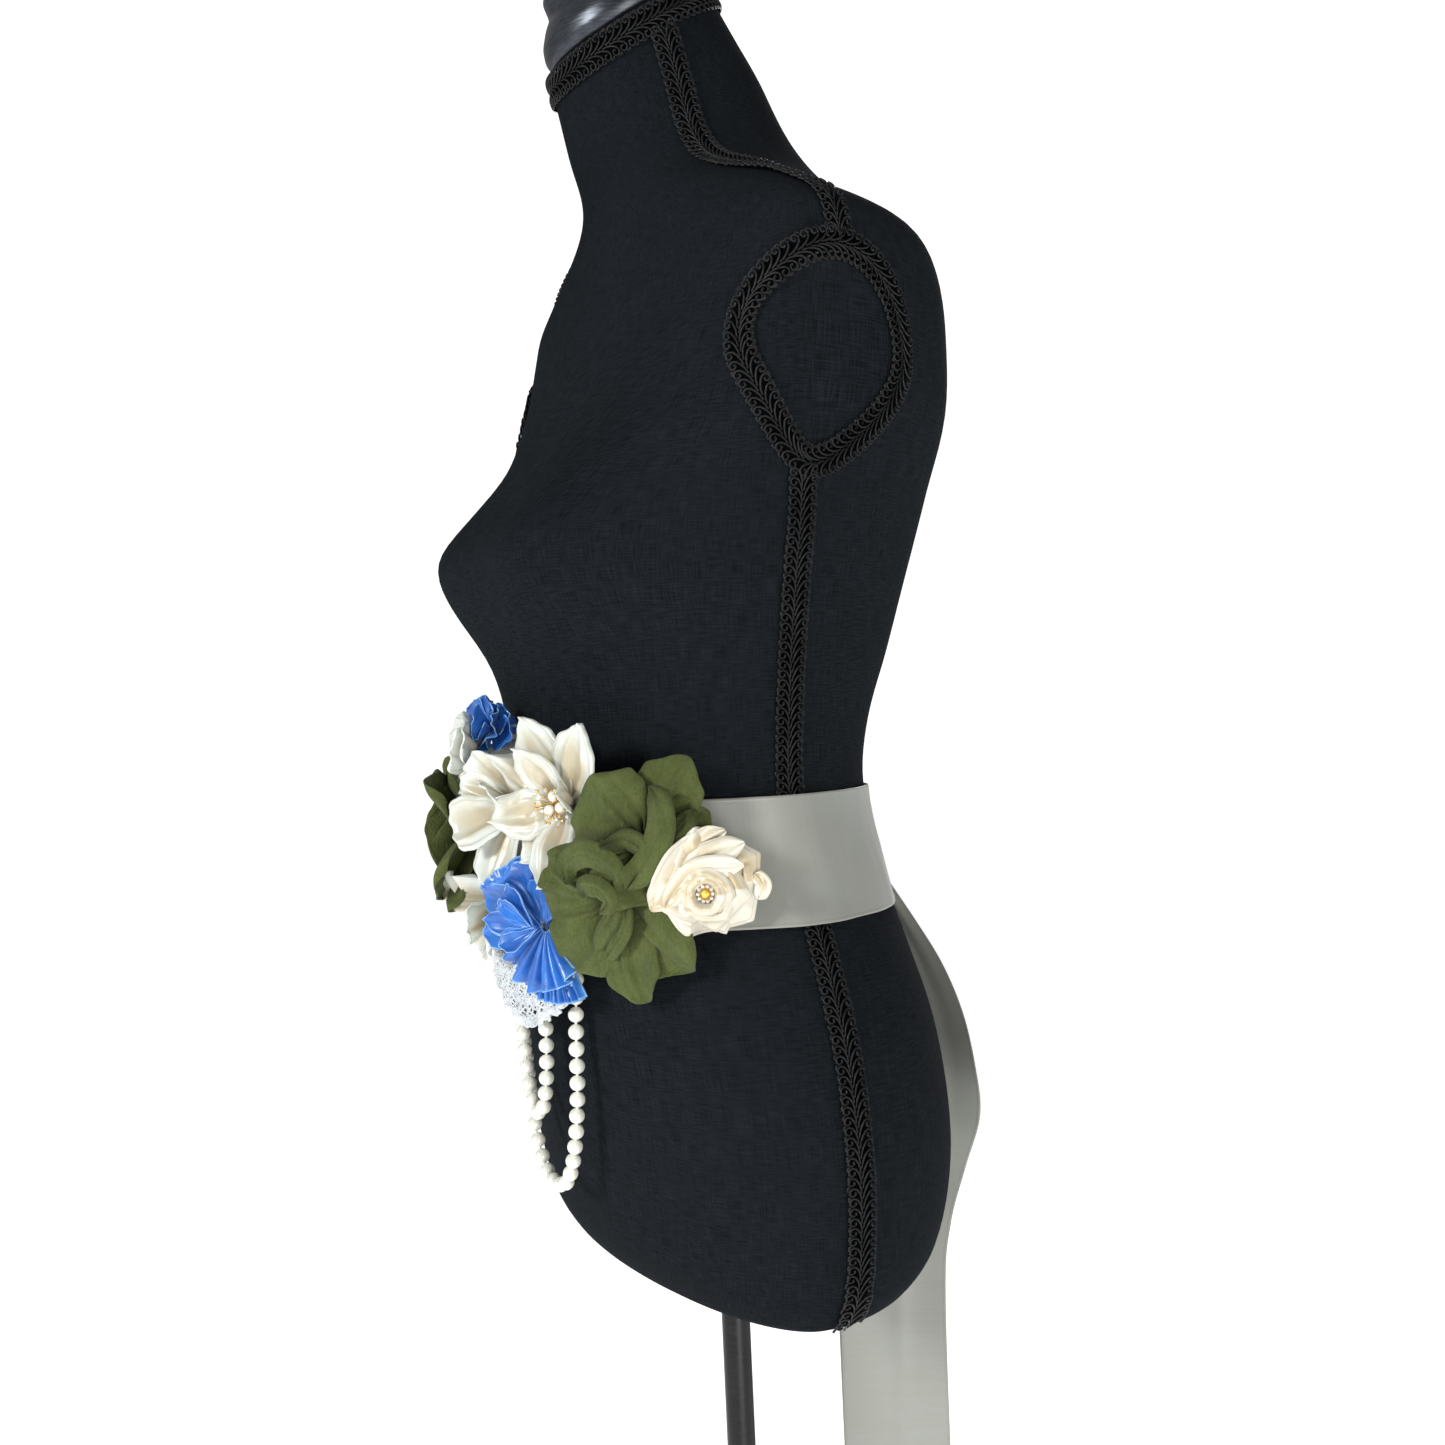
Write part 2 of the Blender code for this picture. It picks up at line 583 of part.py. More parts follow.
def make_knot():
    # A flat knot over the band: upright gathers that swell out in the middle.
    inner = BAND_LIFT + CLOTH + SEAM_GAP
    rings = []
    for k in range(9):
        t = k / 8 * 2 - 1
        azimuth = math.pi + t * math.radians(15)
        swell = math.sqrt(max(0.0, 1 - t * t)) * (1 + 0.10 * math.cos(9 * t))
        ring = []
        for z, share in ((0.9975, 0.35), (0.9975, 0.72), (1.010, 0.96), (1.024, 1.0), (1.040, 0.88),
                         (1.052, 0.40)):
            ring.append(skin(azimuth, z, inner + 0.003 + 0.011 * share * swell))
        ring += [skin(azimuth, z, inner) for z in (1.052, 1.030, 1.015, 1.000, 0.9975)]
        rings.append(ring)
    loft("knot_back", rings, "ivory_ribbon")


def make_tail(name, table):
    rows = []
    for height, x, y, turn, width in table:
        across = Vector((math.cos(math.radians(turn)), math.sin(math.radians(turn)), 0)) * width / 2
        bow = Vector((across.y, -across.x, 0)) * 0.10
        rows.append([
            Vector((x, y, height)) + across * j + bow * (j * j - 0.5) for j in (-1, -0.4, 0.3, 1)
        ])
    mesh = sheet_mesh(name, rows)
    return add_cloth(new_object(name, mesh, "ivory_ribbon"), CLOTH, 0.0)


def make_backing():
    rows = []
    for azimuth, low, high in BACKING_EDGE:
        rows.append([
            skin(math.radians(azimuth), low + (high - low) * k / 4, BACKING_LIFT) for k in range(5)
        ])
    wall("felt_backing", rows, BACKING_THICKNESS, "ivory_felt")


def make_lace():
    # The lace hangs from the backing, out over the pearls.
    rows = []
    for azimuth, top, bottom in LACE_EDGE:
        row = []
        for share, lift in ((0, 0.0050), (0.20, 0.0100), (0.42, 0.0136), (1.0, 0.0152)):
            row.append(skin(math.radians(azimuth), top + (bottom - top) * share, lift))
        rows.append(row)
    wall("lace_trim", rows, CLOTH, "white_lace")


def make_pearls(name, route):
    # One strand of round beads on a thread, as a single beaded solid.
    fine = spline(route, 400)
    reach = [0.0]
    for a, b in zip(fine, fine[1:]):
        reach.append(reach[-1] + (b - a).length)
    beads = round(reach[-1] / PEARL_PITCH)
    stations = []
    for bead in range(beads):
        for share, radius in ((0.03, PEARL_NECK), (0.32, PEARL_RADIUS), (0.68, PEARL_RADIUS)):
            stations.append(((bead + share) * reach[-1] / beads, radius))
    stations.append((reach[-1], PEARL_NECK))
    rings = []
    side = Vector((0, 1, 0))
    for along, radius in stations:
        i = min(range(len(reach)), key=lambda k: abs(reach[k] - along))
        ahead = (fine[min(i + 1, 400)] - fine[max(i - 1, 0)]).normalized()
        across = ahead.cross(side).normalized()
        over = across.cross(ahead)
        ring = []
        for j in range(6):
            turn = 2 * math.pi * j / 6
            ring.append(fine[i] + (across * math.cos(turn) + over * math.sin(turn)) * radius)
        rings.append(ring)
    loft(name, rings, "pearl")


def flower_frame(place, facing):
    # A flower's heart, with its right, up and outward directions and its seat's normal.
    x, height, stand = place
    azimuth = azimuth_at(x, height)
    seat = skin(azimuth, height, FLOWER_SEAT)
    around = skin(azimuth + 0.03, height, 0) - skin(azimuth - 0.03, height, 0)
    normal = around.cross(skin(azimuth, height + 0.004, 0) - skin(azimuth, height - 0.004, 0)).normalized()
    yaw, pitch = (math.radians(angle) for angle in facing)
    out = Vector((math.sin(yaw) * math.cos(pitch), -math.cos(yaw) * math.cos(pitch), math.sin(pitch)))
    right = Vector((0, 0, 1)).cross(out).normalized()
    return seat + normal * (stand - FLOWER_SEAT), right, out.cross(right), out, (seat, normal)


def petal_mesh(frame, petal, kind, hub, grow):
    # A petal as an open sheet: it lifts from the heart, curls, cups and waves.
    centre, right, up, out, _ = frame
    angle, length, width, lift, curl, cup, wave, root = petal
    turn = math.radians(angle)
    ahead = right * math.cos(turn) + up * math.sin(turn)
    side = up * math.cos(turn) - right * math.sin(turn)
    rows = []
    for share, wide in PETAL_SHARES[kind]:
        row = []
        for v in PETAL_COLUMNS:
            along = (length + grow) * share * (1 - END_CURVE[kind] * v * v * share)
            slope = math.radians(lift + curl * share)
            half = (width / 2 + grow) * wide
            high = cup * half * v * v * (1 - 0.3 * share) + wave * share * math.sin(3.4 * v + angle)
            row.append(centre + ahead * (hub + along * math.cos(slope)) + side * (half * v)
                       + out * (root + along * math.sin(slope) + high))
        rows.append(row)
    return sheet_mesh("petal", rows)


def gathered_mesh(frame, layer, grow):
    # A pleated disc: the pleats deepen toward the rim.
    centre, right, up, out, _ = frame
    radius, pleats, pleat_height, lift, curl, root = layer
    rows = []
    for i in range(pleats * 3):
        turn = 2 * math.pi * i / (pleats * 3)
        ahead = right * math.cos(turn) + up * math.sin(turn)
        row = []
        for share in (0.0, 0.45, 1.0):
            along = 0.003 + (radius + grow - 0.003) * share * (1 + 0.06 * math.sin(3 * turn + pleats))
            slope = math.radians(lift + curl * share)
            high = root + along * math.sin(slope) + pleat_height * share * math.sin(pleats * turn)
            row.append(centre + ahead * (along * math.cos(slope)) + out * high)
        rows.append(row)
    return sheet_mesh("pleats", rows, True)


def stem_mesh(frame, heart, grow):
    # The sewn stem: its foot lies flat on the seat, and its top carries the heart.
    centre, _, _, out, (seat, normal) = frame
    mesh = bpy.data.meshes.new("stem")
    bm = bmesh.new()
    rings = []
    for place, axis, radius in (
        (seat - normal * grow, normal, STEM_RADIUS + grow),
        (centre + out * (heart + grow), out, STEM_RADIUS * 0.8 + grow),
    ):
        across = Vector((0, 0, 1)).cross(axis).normalized()
        over = axis.cross(across)
        ring = []
        for k in range(STEM_SIDES):
            turn = 2 * math.pi * k / STEM_SIDES
            ring.append(bm.verts.new(place + (across * math.cos(turn) + over * math.sin(turn)) * radius))
        rings.append(ring)
    bm.faces.new(rings[0])
    bm.faces.new(rings[1])
    for k in range(STEM_SIDES):
        after = (k + 1) % STEM_SIDES
        bm.faces.new((rings[0][k], rings[0][after], rings[1][after], rings[1][k]))
    bmesh.ops.recalc_face_normals(bm, faces=bm.faces)
    bm.to_mesh(mesh)
    bm.free()
    return mesh


def cloth_meshes(spec, grow):
    # A flower's petals, or the room that they need where grow is more than nothing.
    frame = flower_frame(spec["place"], spec["facing"])
    if "layers" in spec:
        meshes = [gathered_mesh(frame, layer, grow) for layer in spec["layers"]]
    else:
        meshes = [petal_mesh(frame, petal, spec["kind"], spec["hub"], grow) for petal in spec["petals"]]
        meshes += [petal_mesh(frame, petal, "round", 0.001, grow) for petal in spec.get("inner", [])]
    return stem_mesh(frame, spec["heart"], grow), meshes


def boolean(made, operation, other):
    # Joins a solid with another, or cuts the other's room from it.
    step = made.modifiers.new(operation.title(), "BOOLEAN")
    step.operation = operation
    step.solver = "MANIFOLD"
    step.object = other


def result_of(made):
    # The modifiers' result as a plain mesh.
    bpy.context.view_layer.update()
    graph = bpy.context.evaluated_depsgraph_get()
    mesh = bpy.data.meshes.new_from_object(made.evaluated_get(graph))
    made.modifiers.clear()
    made.data = mesh


def fused(name, spec, grow, collection):
    # A flower in one piece: its petals joined to its stem.
    stem, meshes = cloth_meshes(spec, grow)
    made = new_object(name, stem, spec["finish"], collection)
    pieces = []
    for mesh in meshes:
        piece = new_object(f"{name}_petal", mesh, spec["finish"], helpers)
        add_cloth(piece, PETAL_CLOTH + 2 * grow, 0.0)
        boolean(made, "UNION", piece)
        pieces.append(piece)
    result_of(made)
    for piece in pieces:
        bpy.data.objects.remove(piece)
    return made


def keep_largest(made):
    # Leaves out any scrap that a trim cut off, and fills any pocket that petals closed in.
    bm = bmesh.new()
    bm.from_mesh(made.data)
    left = set(bm.faces)
    shells = []
    while left:
        shell = []
        reached = [left.pop()]
        while reached:
            face = reached.pop()
            shell.append(face)
            for edge in face.edges:
                for other in edge.link_faces:
                    if other in left:
                        left.discard(other)
                        reached.append(other)
        shells.append(shell)
    shells.sort(key=len)
    bmesh.ops.delete(bm, geom=[face for shell in shells[:-1] for face in shell], context="FACES")
    bm.to_mesh(made.data)
    bm.free()


def make_flowers():
    # Each flower is trimmed clear of those that lie over it.
    rooms = []
    done = []
    for name in BUILD_ORDER:
        spec = FLOWERS.get(name) or GATHERED[name]
        made = fused(name, spec, 0.0, sash)
        for other in rooms + done:
            boolean(made, "DIFFERENCE", other)
        result_of(made)
        keep_largest(made)
        done.append(made)
        rooms.append(fused(f"{name}_room", spec, TRIM_GAP, helpers))
    for room in rooms:
        bpy.data.objects.remove(room)


def make_button(name, spec, beads, bead_radius, ring_radius, finish):
    # The jewelled button on a flower's heart: a small plate with beads round its middle.
    frame = flower_frame(spec["place"], spec["facing"])
    centre, right, up, out, _ = frame
    base = centre + out * (spec["heart"] + SEAM_GAP)
    turn = out.to_track_quat("Z", "Y").to_matrix().to_4x4()
    mesh = bpy.data.meshes.new(name)
    bm = bmesh.new()
    bmesh.ops.create_cone(bm, cap_ends=True, segments=12, radius1=0.0040, radius2=0.0036, depth=0.0014,
                          matrix=Matrix.Translation(base + out * 0.0007) @ turn)
    bm.to_mesh(mesh)
    bm.free()
    made = new_object(name, mesh, finish)
    for i in range(beads):
        angle = 2 * math.pi * i / beads + 0.6
        place = base + out * (0.0008 + bead_radius * 0.8)
        place += (right * math.cos(angle) + up * math.sin(angle)) * ring_radius
        mesh = bpy.data.meshes.new("bead")
        bm = bmesh.new()
        bmesh.ops.create_uvsphere(bm, u_segments=8, v_segments=6, radius=bead_radius,
                                  matrix=Matrix.Translation(place) @ turn)
        bm.to_mesh(mesh)
        bm.free()
        bead = new_object(f"{name}_bead_{i}", mesh, finish, helpers)
        boolean(made, "UNION", bead)


clear_scene()
sash = new_collection("maternity_sash_on_dress_form")
helpers = new_collection("helpers")
finishes = {name: new_material(name, *look) for name, look in FINISHES.items()}
form = make_form()
form_tree = BVHTree.FromPolygons(
    [v.co for v in form.data.vertices], [tuple(p.vertices) for p in form.data.polygons]
)
make_stand()
make_neck_cap()
make_gimp()
make_band()
make_knot()
make_tail("tail_left", TAIL_LEFT)
make_tail("tail_right", TAIL_RIGHT)
make_backing()
make_lace()
make_pearls("pearls_outer", PEARLS_OUTER)
make_pearls("pearls_inner", PEARLS_INNER)
make_flowers()
make_button("rose_jewel", FLOWERS["rose"], 1, 0.0026, 0.0, "gold")
make_button("stamens", FLOWERS["ivory_main"], 3, 0.0028, 0.0040, "pearl")
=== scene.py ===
import random
from math import asin, copysign, cos, exp, pi, radians, sin, sqrt

import bmesh
import bpy
from mathutils import Matrix, Vector, noise
from mathutils.bvhtree import BVHTree


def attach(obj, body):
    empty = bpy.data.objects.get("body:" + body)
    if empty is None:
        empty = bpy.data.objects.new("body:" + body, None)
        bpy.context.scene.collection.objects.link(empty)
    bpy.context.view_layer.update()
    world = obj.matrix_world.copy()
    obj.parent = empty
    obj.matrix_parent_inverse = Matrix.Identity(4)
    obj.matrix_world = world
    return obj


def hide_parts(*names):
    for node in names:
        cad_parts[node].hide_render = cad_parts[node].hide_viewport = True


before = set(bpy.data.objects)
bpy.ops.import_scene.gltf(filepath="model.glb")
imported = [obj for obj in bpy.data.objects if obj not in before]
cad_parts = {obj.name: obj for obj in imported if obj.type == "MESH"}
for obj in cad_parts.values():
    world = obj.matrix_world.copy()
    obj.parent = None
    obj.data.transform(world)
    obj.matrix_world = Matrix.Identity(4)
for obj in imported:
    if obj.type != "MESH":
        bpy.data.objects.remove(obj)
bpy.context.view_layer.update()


def linked(name, data):
    made = bpy.data.objects.new(name, data)
    bpy.context.scene.collection.objects.link(made)
    return made


# Camera and light

viewPoint = {"turn": 60, "distance": 0.82, "height": 1.09, "aside": 0.0077, "roll": -2.6, "lens": 36.1}


def makeCamera():
    turn = radians(viewPoint["turn"])
    right = Vector((cos(turn), sin(turn), 0))
    ahead = Vector((-sin(turn), cos(turn), 0))
    place = Vector((0, 0, viewPoint["height"])) - ahead * viewPoint["distance"] + right * viewPoint["aside"]
    axes = Matrix((right, Vector((0, 0, 1)), -ahead)).transposed().to_4x4()
    roll = Matrix.Rotation(radians(viewPoint["roll"]), 4, "Z")
    camera = linked("camera", bpy.data.cameras.new("camera"))
    camera.data.sensor_width = 36
    camera.data.lens = viewPoint["lens"]
    camera.data.clip_start = 0.02
    camera.matrix_world = Matrix.Translation(place) @ axes @ roll
    bpy.context.scene.camera = camera


def makeLight(name, place, aim, size, power, tint):
    lamp = linked(name, bpy.data.lights.new(name, "AREA"))
    lamp.data.size = size
    lamp.data.energy = power
    lamp.data.color = tint
    lamp.location = place
    lamp.rotation_euler = (Vector(aim) - Vector(place)).to_track_quat("-Z", "Y").to_euler()


studio = {
    "soft": 0.29, "backdrop": 1.15,
    # name, place, aim, size, power, tint
    "lights": [
        ("key", (0.45, -2.15, 1.85), (0.03, -0.1, 1.03), 0.45, 37, (1.0, 0.985, 0.965)),
        ("fill", (2.1, -0.35, 0.75), (0.05, 0.08, 0.88), 0.9, 21, (1.0, 0.95, 0.88)),
        ("back", (-1.6, 1.6, 2.2), (0, 0, 1.1), 1.2, 22, (1.0, 1.0, 1.0)),
    ],
}


def makeStudio():
    for light in studio["lights"]:
        makeLight(*light)
    world = bpy.data.worlds.new("studio")
    world.use_nodes = True
    tree = world.node_tree
    soft = tree.nodes["Background"]
    backdrop = tree.nodes.new("ShaderNodeBackground")
    for node, name in ((soft, "soft"), (backdrop, "backdrop")):
        node.inputs["Strength"].default_value = studio[name]
        node.inputs["Color"].default_value = (1.0, 1.0, 1.0, 1.0)
    sight = tree.nodes.new("ShaderNodeLightPath")
    blend = tree.nodes.new("ShaderNodeMixShader")
    for i, socket in enumerate((sight.outputs["Is Camera Ray"], soft.outputs[0], backdrop.outputs[0])):
        tree.links.new(socket, blend.inputs[i])
    tree.links.new(blend.outputs[0], tree.nodes["World Output"].inputs["Surface"])
    bpy.context.scene.world = world
    bpy.context.scene.view_settings.view_transform = "Standard"


makeCamera()
makeStudio()
print("camera and light: done")


# Materials

class Value:
    # A number that varies over a surface. Sums on it add the nodes.
    def __init__(self, finish, socket):
        self.finish = finish
        self.socket = socket

    def maths(self, operation, *parts):
        return self.finish.node("ShaderNodeMath", {"operation": operation}, dict(enumerate(parts or (self,))))

    def __add__(self, other):
        return self.maths("ADD", self, other)

    def __sub__(self, other):
        return self.maths("SUBTRACT", self, other)

    def __rsub__(self, other):
        return self.maths("SUBTRACT", other, self)

    def __mul__(self, other):
        return self.maths("MULTIPLY", self, other)

    def __abs__(self):
        return self.maths("ABSOLUTE")


class Finish:
    # One material, with its nodes added by name.
    def __init__(self, name, roughness, fixed):
        self.material = bpy.data.materials.new(name)
        self.material.use_nodes = True
        self.tree = self.material.node_tree
        self.shader = self.tree.nodes["Principled BSDF"]
        for socket, value in {"Roughness": roughness, **fixed}.items():
            self.shader.inputs[socket].default_value = value

    def node(self, kind, settings=None, sockets=None, out=0):
        made = self.tree.nodes.new(kind)
        for key, value in (settings or {}).items():
            setattr(made, key, value)
        for key, value in (sockets or {}).items():
            if isinstance(value, Value):
                self.tree.links.new(value.socket, made.inputs[key])
            else:
                made.inputs[key].default_value = value
        return Value(self, made.outputs[out])

    def place(self, scale=(1, 1, 1)):
        where = self.node("ShaderNodeTexCoord", out="Object")
        return self.node("ShaderNodeMapping", None, {"Vector": where, "Scale": scale})

    def cloth(self, scale=(1, 1, 1)):
        where = self.node("ShaderNodeUVMap", {"uv_map": "cloth"})
        return self.node("ShaderNodeMapping", None, {"Vector": where, "Scale": scale})

    def lengths(self):
        # The share or length across the cloth and along it.
        made = self.tree.nodes.new("ShaderNodeSeparateXYZ")
        self.tree.links.new(self.cloth().socket, made.inputs[0])
        return Value(self, made.outputs[0]), Value(self, made.outputs[1])

    def grain(self, scale, detail=2.0, rough=0.5, where=None):
        return self.node("ShaderNodeTexNoise", None, {
            "Vector": where or self.place(), "Scale": scale, "Detail": detail, "Roughness": rough})

    def step(self, value, low, high):
        return self.node("ShaderNodeMapRange", {"interpolation_type": "SMOOTHSTEP"},
                         {"Value": value, "From Min": low, "From Max": high})

    def mix(self, share, first, second):
        sockets = {0: share}
        for key, colour in ((6, first), (7, second)):
            sockets[key] = colour if isinstance(colour, Value) else (*colour, 1.0)
        return self.node("ShaderNodeMix", {"data_type": "RGBA"}, sockets, out=2)

    def colour(self, value):
        self.tree.links.new(value.socket, self.shader.inputs["Base Color"])

    def rough(self, value):
        self.tree.links.new(value.socket, self.shader.inputs["Roughness"])

    def bump(self, height, distance, strength):
        made = self.node("ShaderNodeBump", None, {"Height": height, "Distance": distance, "Strength": strength})
        self.tree.links.new(made.socket, self.shader.inputs["Normal"])


def makeLinen(name, dark, light, pitch):
    # Plain weave in slubby threads, laid out by the cloth's own lengths.
    made = Finish(name, 0.95, {"Specular IOR Level": 0.04})
    across, down = made.lengths()
    turns = 2 * pi / pitch
    weave = (across * turns).maths("SINE") * (down * turns).maths("SINE") * 0.5 + 0.5
    slubUp = made.grain(1.0, where=made.cloth((1900, 90, 1)))
    slubOver = made.grain(1.0, where=made.cloth((90, 1900, 1)))
    threads = slubUp * 0.5 + slubOver * 0.5
    shade = made.step(threads * 0.75 + weave * 0.25, 0.34, 0.66)
    made.colour(made.mix(shade * 0.75 + made.grain(9.0, 3.0) * 0.25, dark, light))
    made.bump(weave * 0.5 + threads, 0.0006, 0.8)
    return made.material


def makeSatin(name, light, warm, rough, sheen):
    # Smooth satin: fine floats, soft creases, and painted warm shade in the folds and at the root.
    made = Finish(name, rough, {"Sheen Weight": sheen, "Sheen Roughness": 0.35, "Specular IOR Level": 0.85})
    across, down = made.lengths()
    soft = made.grain(38.0, 3.0, 0.6)
    side = abs(across - 0.5)
    # Painted shade: the middle of each petal, lower down, and its root take the warm colour.
    hollowShade = (1.0 - made.step(side, 0.10, 0.40)) * (1.0 - made.step(down, 0.35, 1.0))
    deep = 1.0 - made.step(down, 0.0, 0.30)
    tone = made.step(soft * 0.55 + made.grain(60.0) * 0.45, 0.36, 0.64)
    shade = made.step(tone * 0.45 + deep * 0.30 + hollowShade * 0.75, 0.10, 0.95)
    # Painted shadow: a thin darker line inside the rolled edge, where its fold shades the petal.
    foldShadowLine = (1.0 - made.step(abs(side - 0.405), 0.0, 0.022)) * (1.0 - made.step(down, 0.88, 0.97))
    shadow = tuple(c * 0.55 for c in warm)
    made.colour(made.mix(foldShadowLine * 0.45, made.mix(shade, light, warm), shadow))
    made.rough(soft * 0.16 + (rough - 0.06))
    floats = made.grain(900.0, 1.0, where=made.place((1, 1, 9)))
    made.bump(floats * 0.12 + made.grain(120.0, 3.0, 0.55) * 0.88, 0.0007, 0.65)
    return made.material


def makeRibbonSatin(name, light, shade):
    # Ribbon satin with fine cross ribs and a woven edge down each side.
    made = Finish(name, 0.40, {"Sheen Weight": 0.2, "Specular IOR Level": 0.5})
    across, down = made.lengths()
    ribs = (down * 9000.0).maths("SINE") * 0.5 + 0.5
    soft = made.grain(26.0, 3.0, 0.55)
    streak = made.grain(1.0, where=made.cloth((14, 700, 1)))
    edge = made.step(abs(across - 0.03175), 0.0296, 0.0306)
    made.colour(made.mix(soft * 0.55 + streak * 0.25 + edge * 0.25, light, shade))
    made.rough(soft * 0.14 + 0.30)
    made.bump(ribs * 0.12 + streak * 0.3 + soft * 0.5 + edge * 0.8, 0.0004, 0.5)
    return made.material


def makeChiffon(name, light, dark):
    # Crepe chiffon: matte, finely pebbled, with the weave just showing.
    made = Finish(name, 0.92, {"Sheen Weight": 0.06, "Sheen Roughness": 0.6, "Specular IOR Level": 0.12})
    # Painted shade: each petal darkens towards its root, at the heart of the flower.
    deep = 1.0 - made.step(made.lengths()[1], 0.0, 0.35)
    crepe = made.grain(850.0, 3.0, 0.6)
    thread = made.grain(800.0, 1.0, where=made.place((1, 1, 0.25)))
    tone = made.step(made.grain(45.0, 4.0, 0.6) * 0.5 + crepe * 0.3 + thread * 0.2, 0.35, 0.65)
    made.colour(made.mix(tone * 0.5 + deep * 0.5, light, dark))
    made.bump(crepe * 0.7 + thread * 0.3, 0.0009, 0.9)
    return made.material


def makeSealedSatin(name, light, deep, edge):
    # Blue satin whose cut edges were melted, which leaves them pale and glassy.
    made = Finish(name, 0.26, {"Sheen Weight": 0.15, "Specular IOR Level": 0.6})
    across, down = made.lengths()
    soft = made.grain(60.0, 3.0, 0.6)
    tip = made.step(down, 0.970, 0.992)
    rim = tip.maths("MAXIMUM", tip, made.step(abs(across - 0.5), 0.462, 0.484))
    # Random tone, with painted shade that darkens each petal towards its root.
    tone = made.step(soft, 0.34, 0.68) * 0.7 + (1.0 - made.step(down, 0.0, 0.5)) * 0.3
    made.colour(made.mix(rim * 0.6, made.mix(tone, light, deep), edge))
    made.rough(soft * 0.12 + 0.22 - rim * 0.08)
    made.bump(made.grain(150.0, 3.0) + rim * 0.5, 0.0005, 0.5)
    return made.material


def makeThread(name, light, dark, rough, scale, sheen, shine=0.3):
    # Twisted cotton or rayon thread, for lace, braid and felt.
    made = Finish(name, rough, {"Sheen Weight": sheen, "Specular IOR Level": shine})
    twist = made.grain(scale, 3.0)
    made.colour(made.mix(made.step(twist * 0.6 + made.grain(70.0) * 0.4, 0.35, 0.65), light, dark))
    made.bump(twist, 0.0005, 0.7)
    return made.material


def makePearl(name):
    made = Finish(name, 0.20, {"Coat Weight": 0.6, "Coat Roughness": 0.08, "Specular IOR Level": 0.6,
                               "Sheen Weight": 0.2})
    cloud = made.grain(130.0, 3.0)
    warm = made.mix(made.step(cloud, 0.35, 0.65), (0.70, 0.74, 0.66), (0.82, 0.82, 0.75))
    made.colour(made.mix(made.step(made.grain(300.0, 1.0), 0.45, 0.75) * 0.35, warm, (0.80, 0.72, 0.68)))
    made.rough(cloud * 0.10 + 0.15)
    return made.material


def makeMetal(name, light, dark, rough, metallic, scratch):
    # Turned or plated metal, brushed round, with a little wear.
    made = Finish(name, rough, {"Metallic": metallic})
    brushed = made.grain(120.0, 3.0, where=made.place((1, 1, scratch)))
    worn = made.grain(22.0, 4.0, 0.6)
    made.colour(made.mix(made.step(brushed * 0.5 + worn * 0.5, 0.35, 0.68), dark, light))
    made.rough(brushed * 0.18 + worn * 0.12 + (rough - 0.14))
    made.bump(brushed * 0.6 + worn * 0.4, 0.0002, 0.4)
    return made.material


def makeStone(name, rough, size, dark, light):
    # Cut stone or glass, with painted reflections: cells of light and dark colour stand for its facets catching
    # light.
    made = Finish(name, rough, {"Specular IOR Level": 0.9, "Coat Weight": 1.0, "Coat Roughness": 0.02})
    facets = made.node("ShaderNodeTexVoronoi", None, {"Vector": made.place(), "Scale": size}, out="Color")
    made.colour(made.mix(made.node("ShaderNodeRGBToBW", None, {0: facets}), dark, light))
    return made.material


finishes = {name: make(name, *values) for name, make, *values in (
    ("form_cloth", makeLinen, (0.0008, 0.0013, 0.0020), (0.0175, 0.0222, 0.0275), 0.00100),
    # light, dark, roughness, grain, sheen, shine
    ("gimp_black", makeThread, (0.0170, 0.0182, 0.0202), (0.0050, 0.0054, 0.0062), 0.32, 1400.0, 0.0, 0.22),
    # the tape is far darker than the thread: painted shade for the gaps between the scrolls
    ("gimp_tape_gap_shade", makeThread, (0.0022, 0.0024, 0.0028), (0.0006, 0.0007, 0.0008), 0.90, 1400.0, 0.0, 0.03),
    ("ivory_felt", makeThread, (0.66, 0.66, 0.60), (0.50, 0.50, 0.45), 0.95, 1800.0, 0.4),
    ("white_lace", makeThread, (0.72, 0.76, 0.79), (0.50, 0.54, 0.57), 0.85, 1500.0, 0.05),
    ("ivory_ribbon", makeRibbonSatin, (0.300, 0.326, 0.308), (0.232, 0.230, 0.203)),
    # satins: light, then warm for random tone and painted shade, roughness, sheen
    ("ivory_satin", makeSatin, (0.63, 0.68, 0.645), (0.48, 0.43, 0.305), 0.22, 0.12),
    ("cream_satin", makeSatin, (0.67, 0.65, 0.56), (0.52, 0.44, 0.285), 0.22, 0.12),
    ("olive_chiffon", makeChiffon, (0.086, 0.109, 0.034), (0.019, 0.028, 0.006)),
    ("blue_satin", makeSealedSatin, (0.024, 0.170, 0.58), (0.005, 0.058, 0.32), (0.26, 0.56, 0.90)),
    ("pearl", makePearl),
    # light, dark, roughness, metallic, brushing
    ("gold", makeMetal, (0.80, 0.55, 0.20), (0.55, 0.34, 0.10), 0.26, 1.0, 1),
    ("cap_metal", makeMetal, (0.072, 0.081, 0.096), (0.026, 0.031, 0.038), 0.32, 0.75, 12),
    ("stand_metal", makeMetal, (0.012, 0.012, 0.013), (0.004, 0.004, 0.005), 0.36, 0.4, 6),
    # stones: roughness, cell size, then the dark and light colours of the painted facet reflections
    ("crystal", makeStone, 0.03, 1300.0, (0.32, 0.36, 0.40), (0.95, 0.97, 1.0)),
    ("amberStone", makeStone, 0.05, 900.0, (0.45, 0.25, 0.01), (0.95, 0.75, 0.12)),
)}
print("materials: done")


# Number helpers

def bell(offset, width, power=2):
    return exp(-((offset / width) ** power))


def past(share, start):
    # From 0 at the start to 1 at the end.
    return max(0.0, (share - start) / (1 - start))


def spoke(right, up, turn):
    return right * cos(turn) + up * sin(turn)


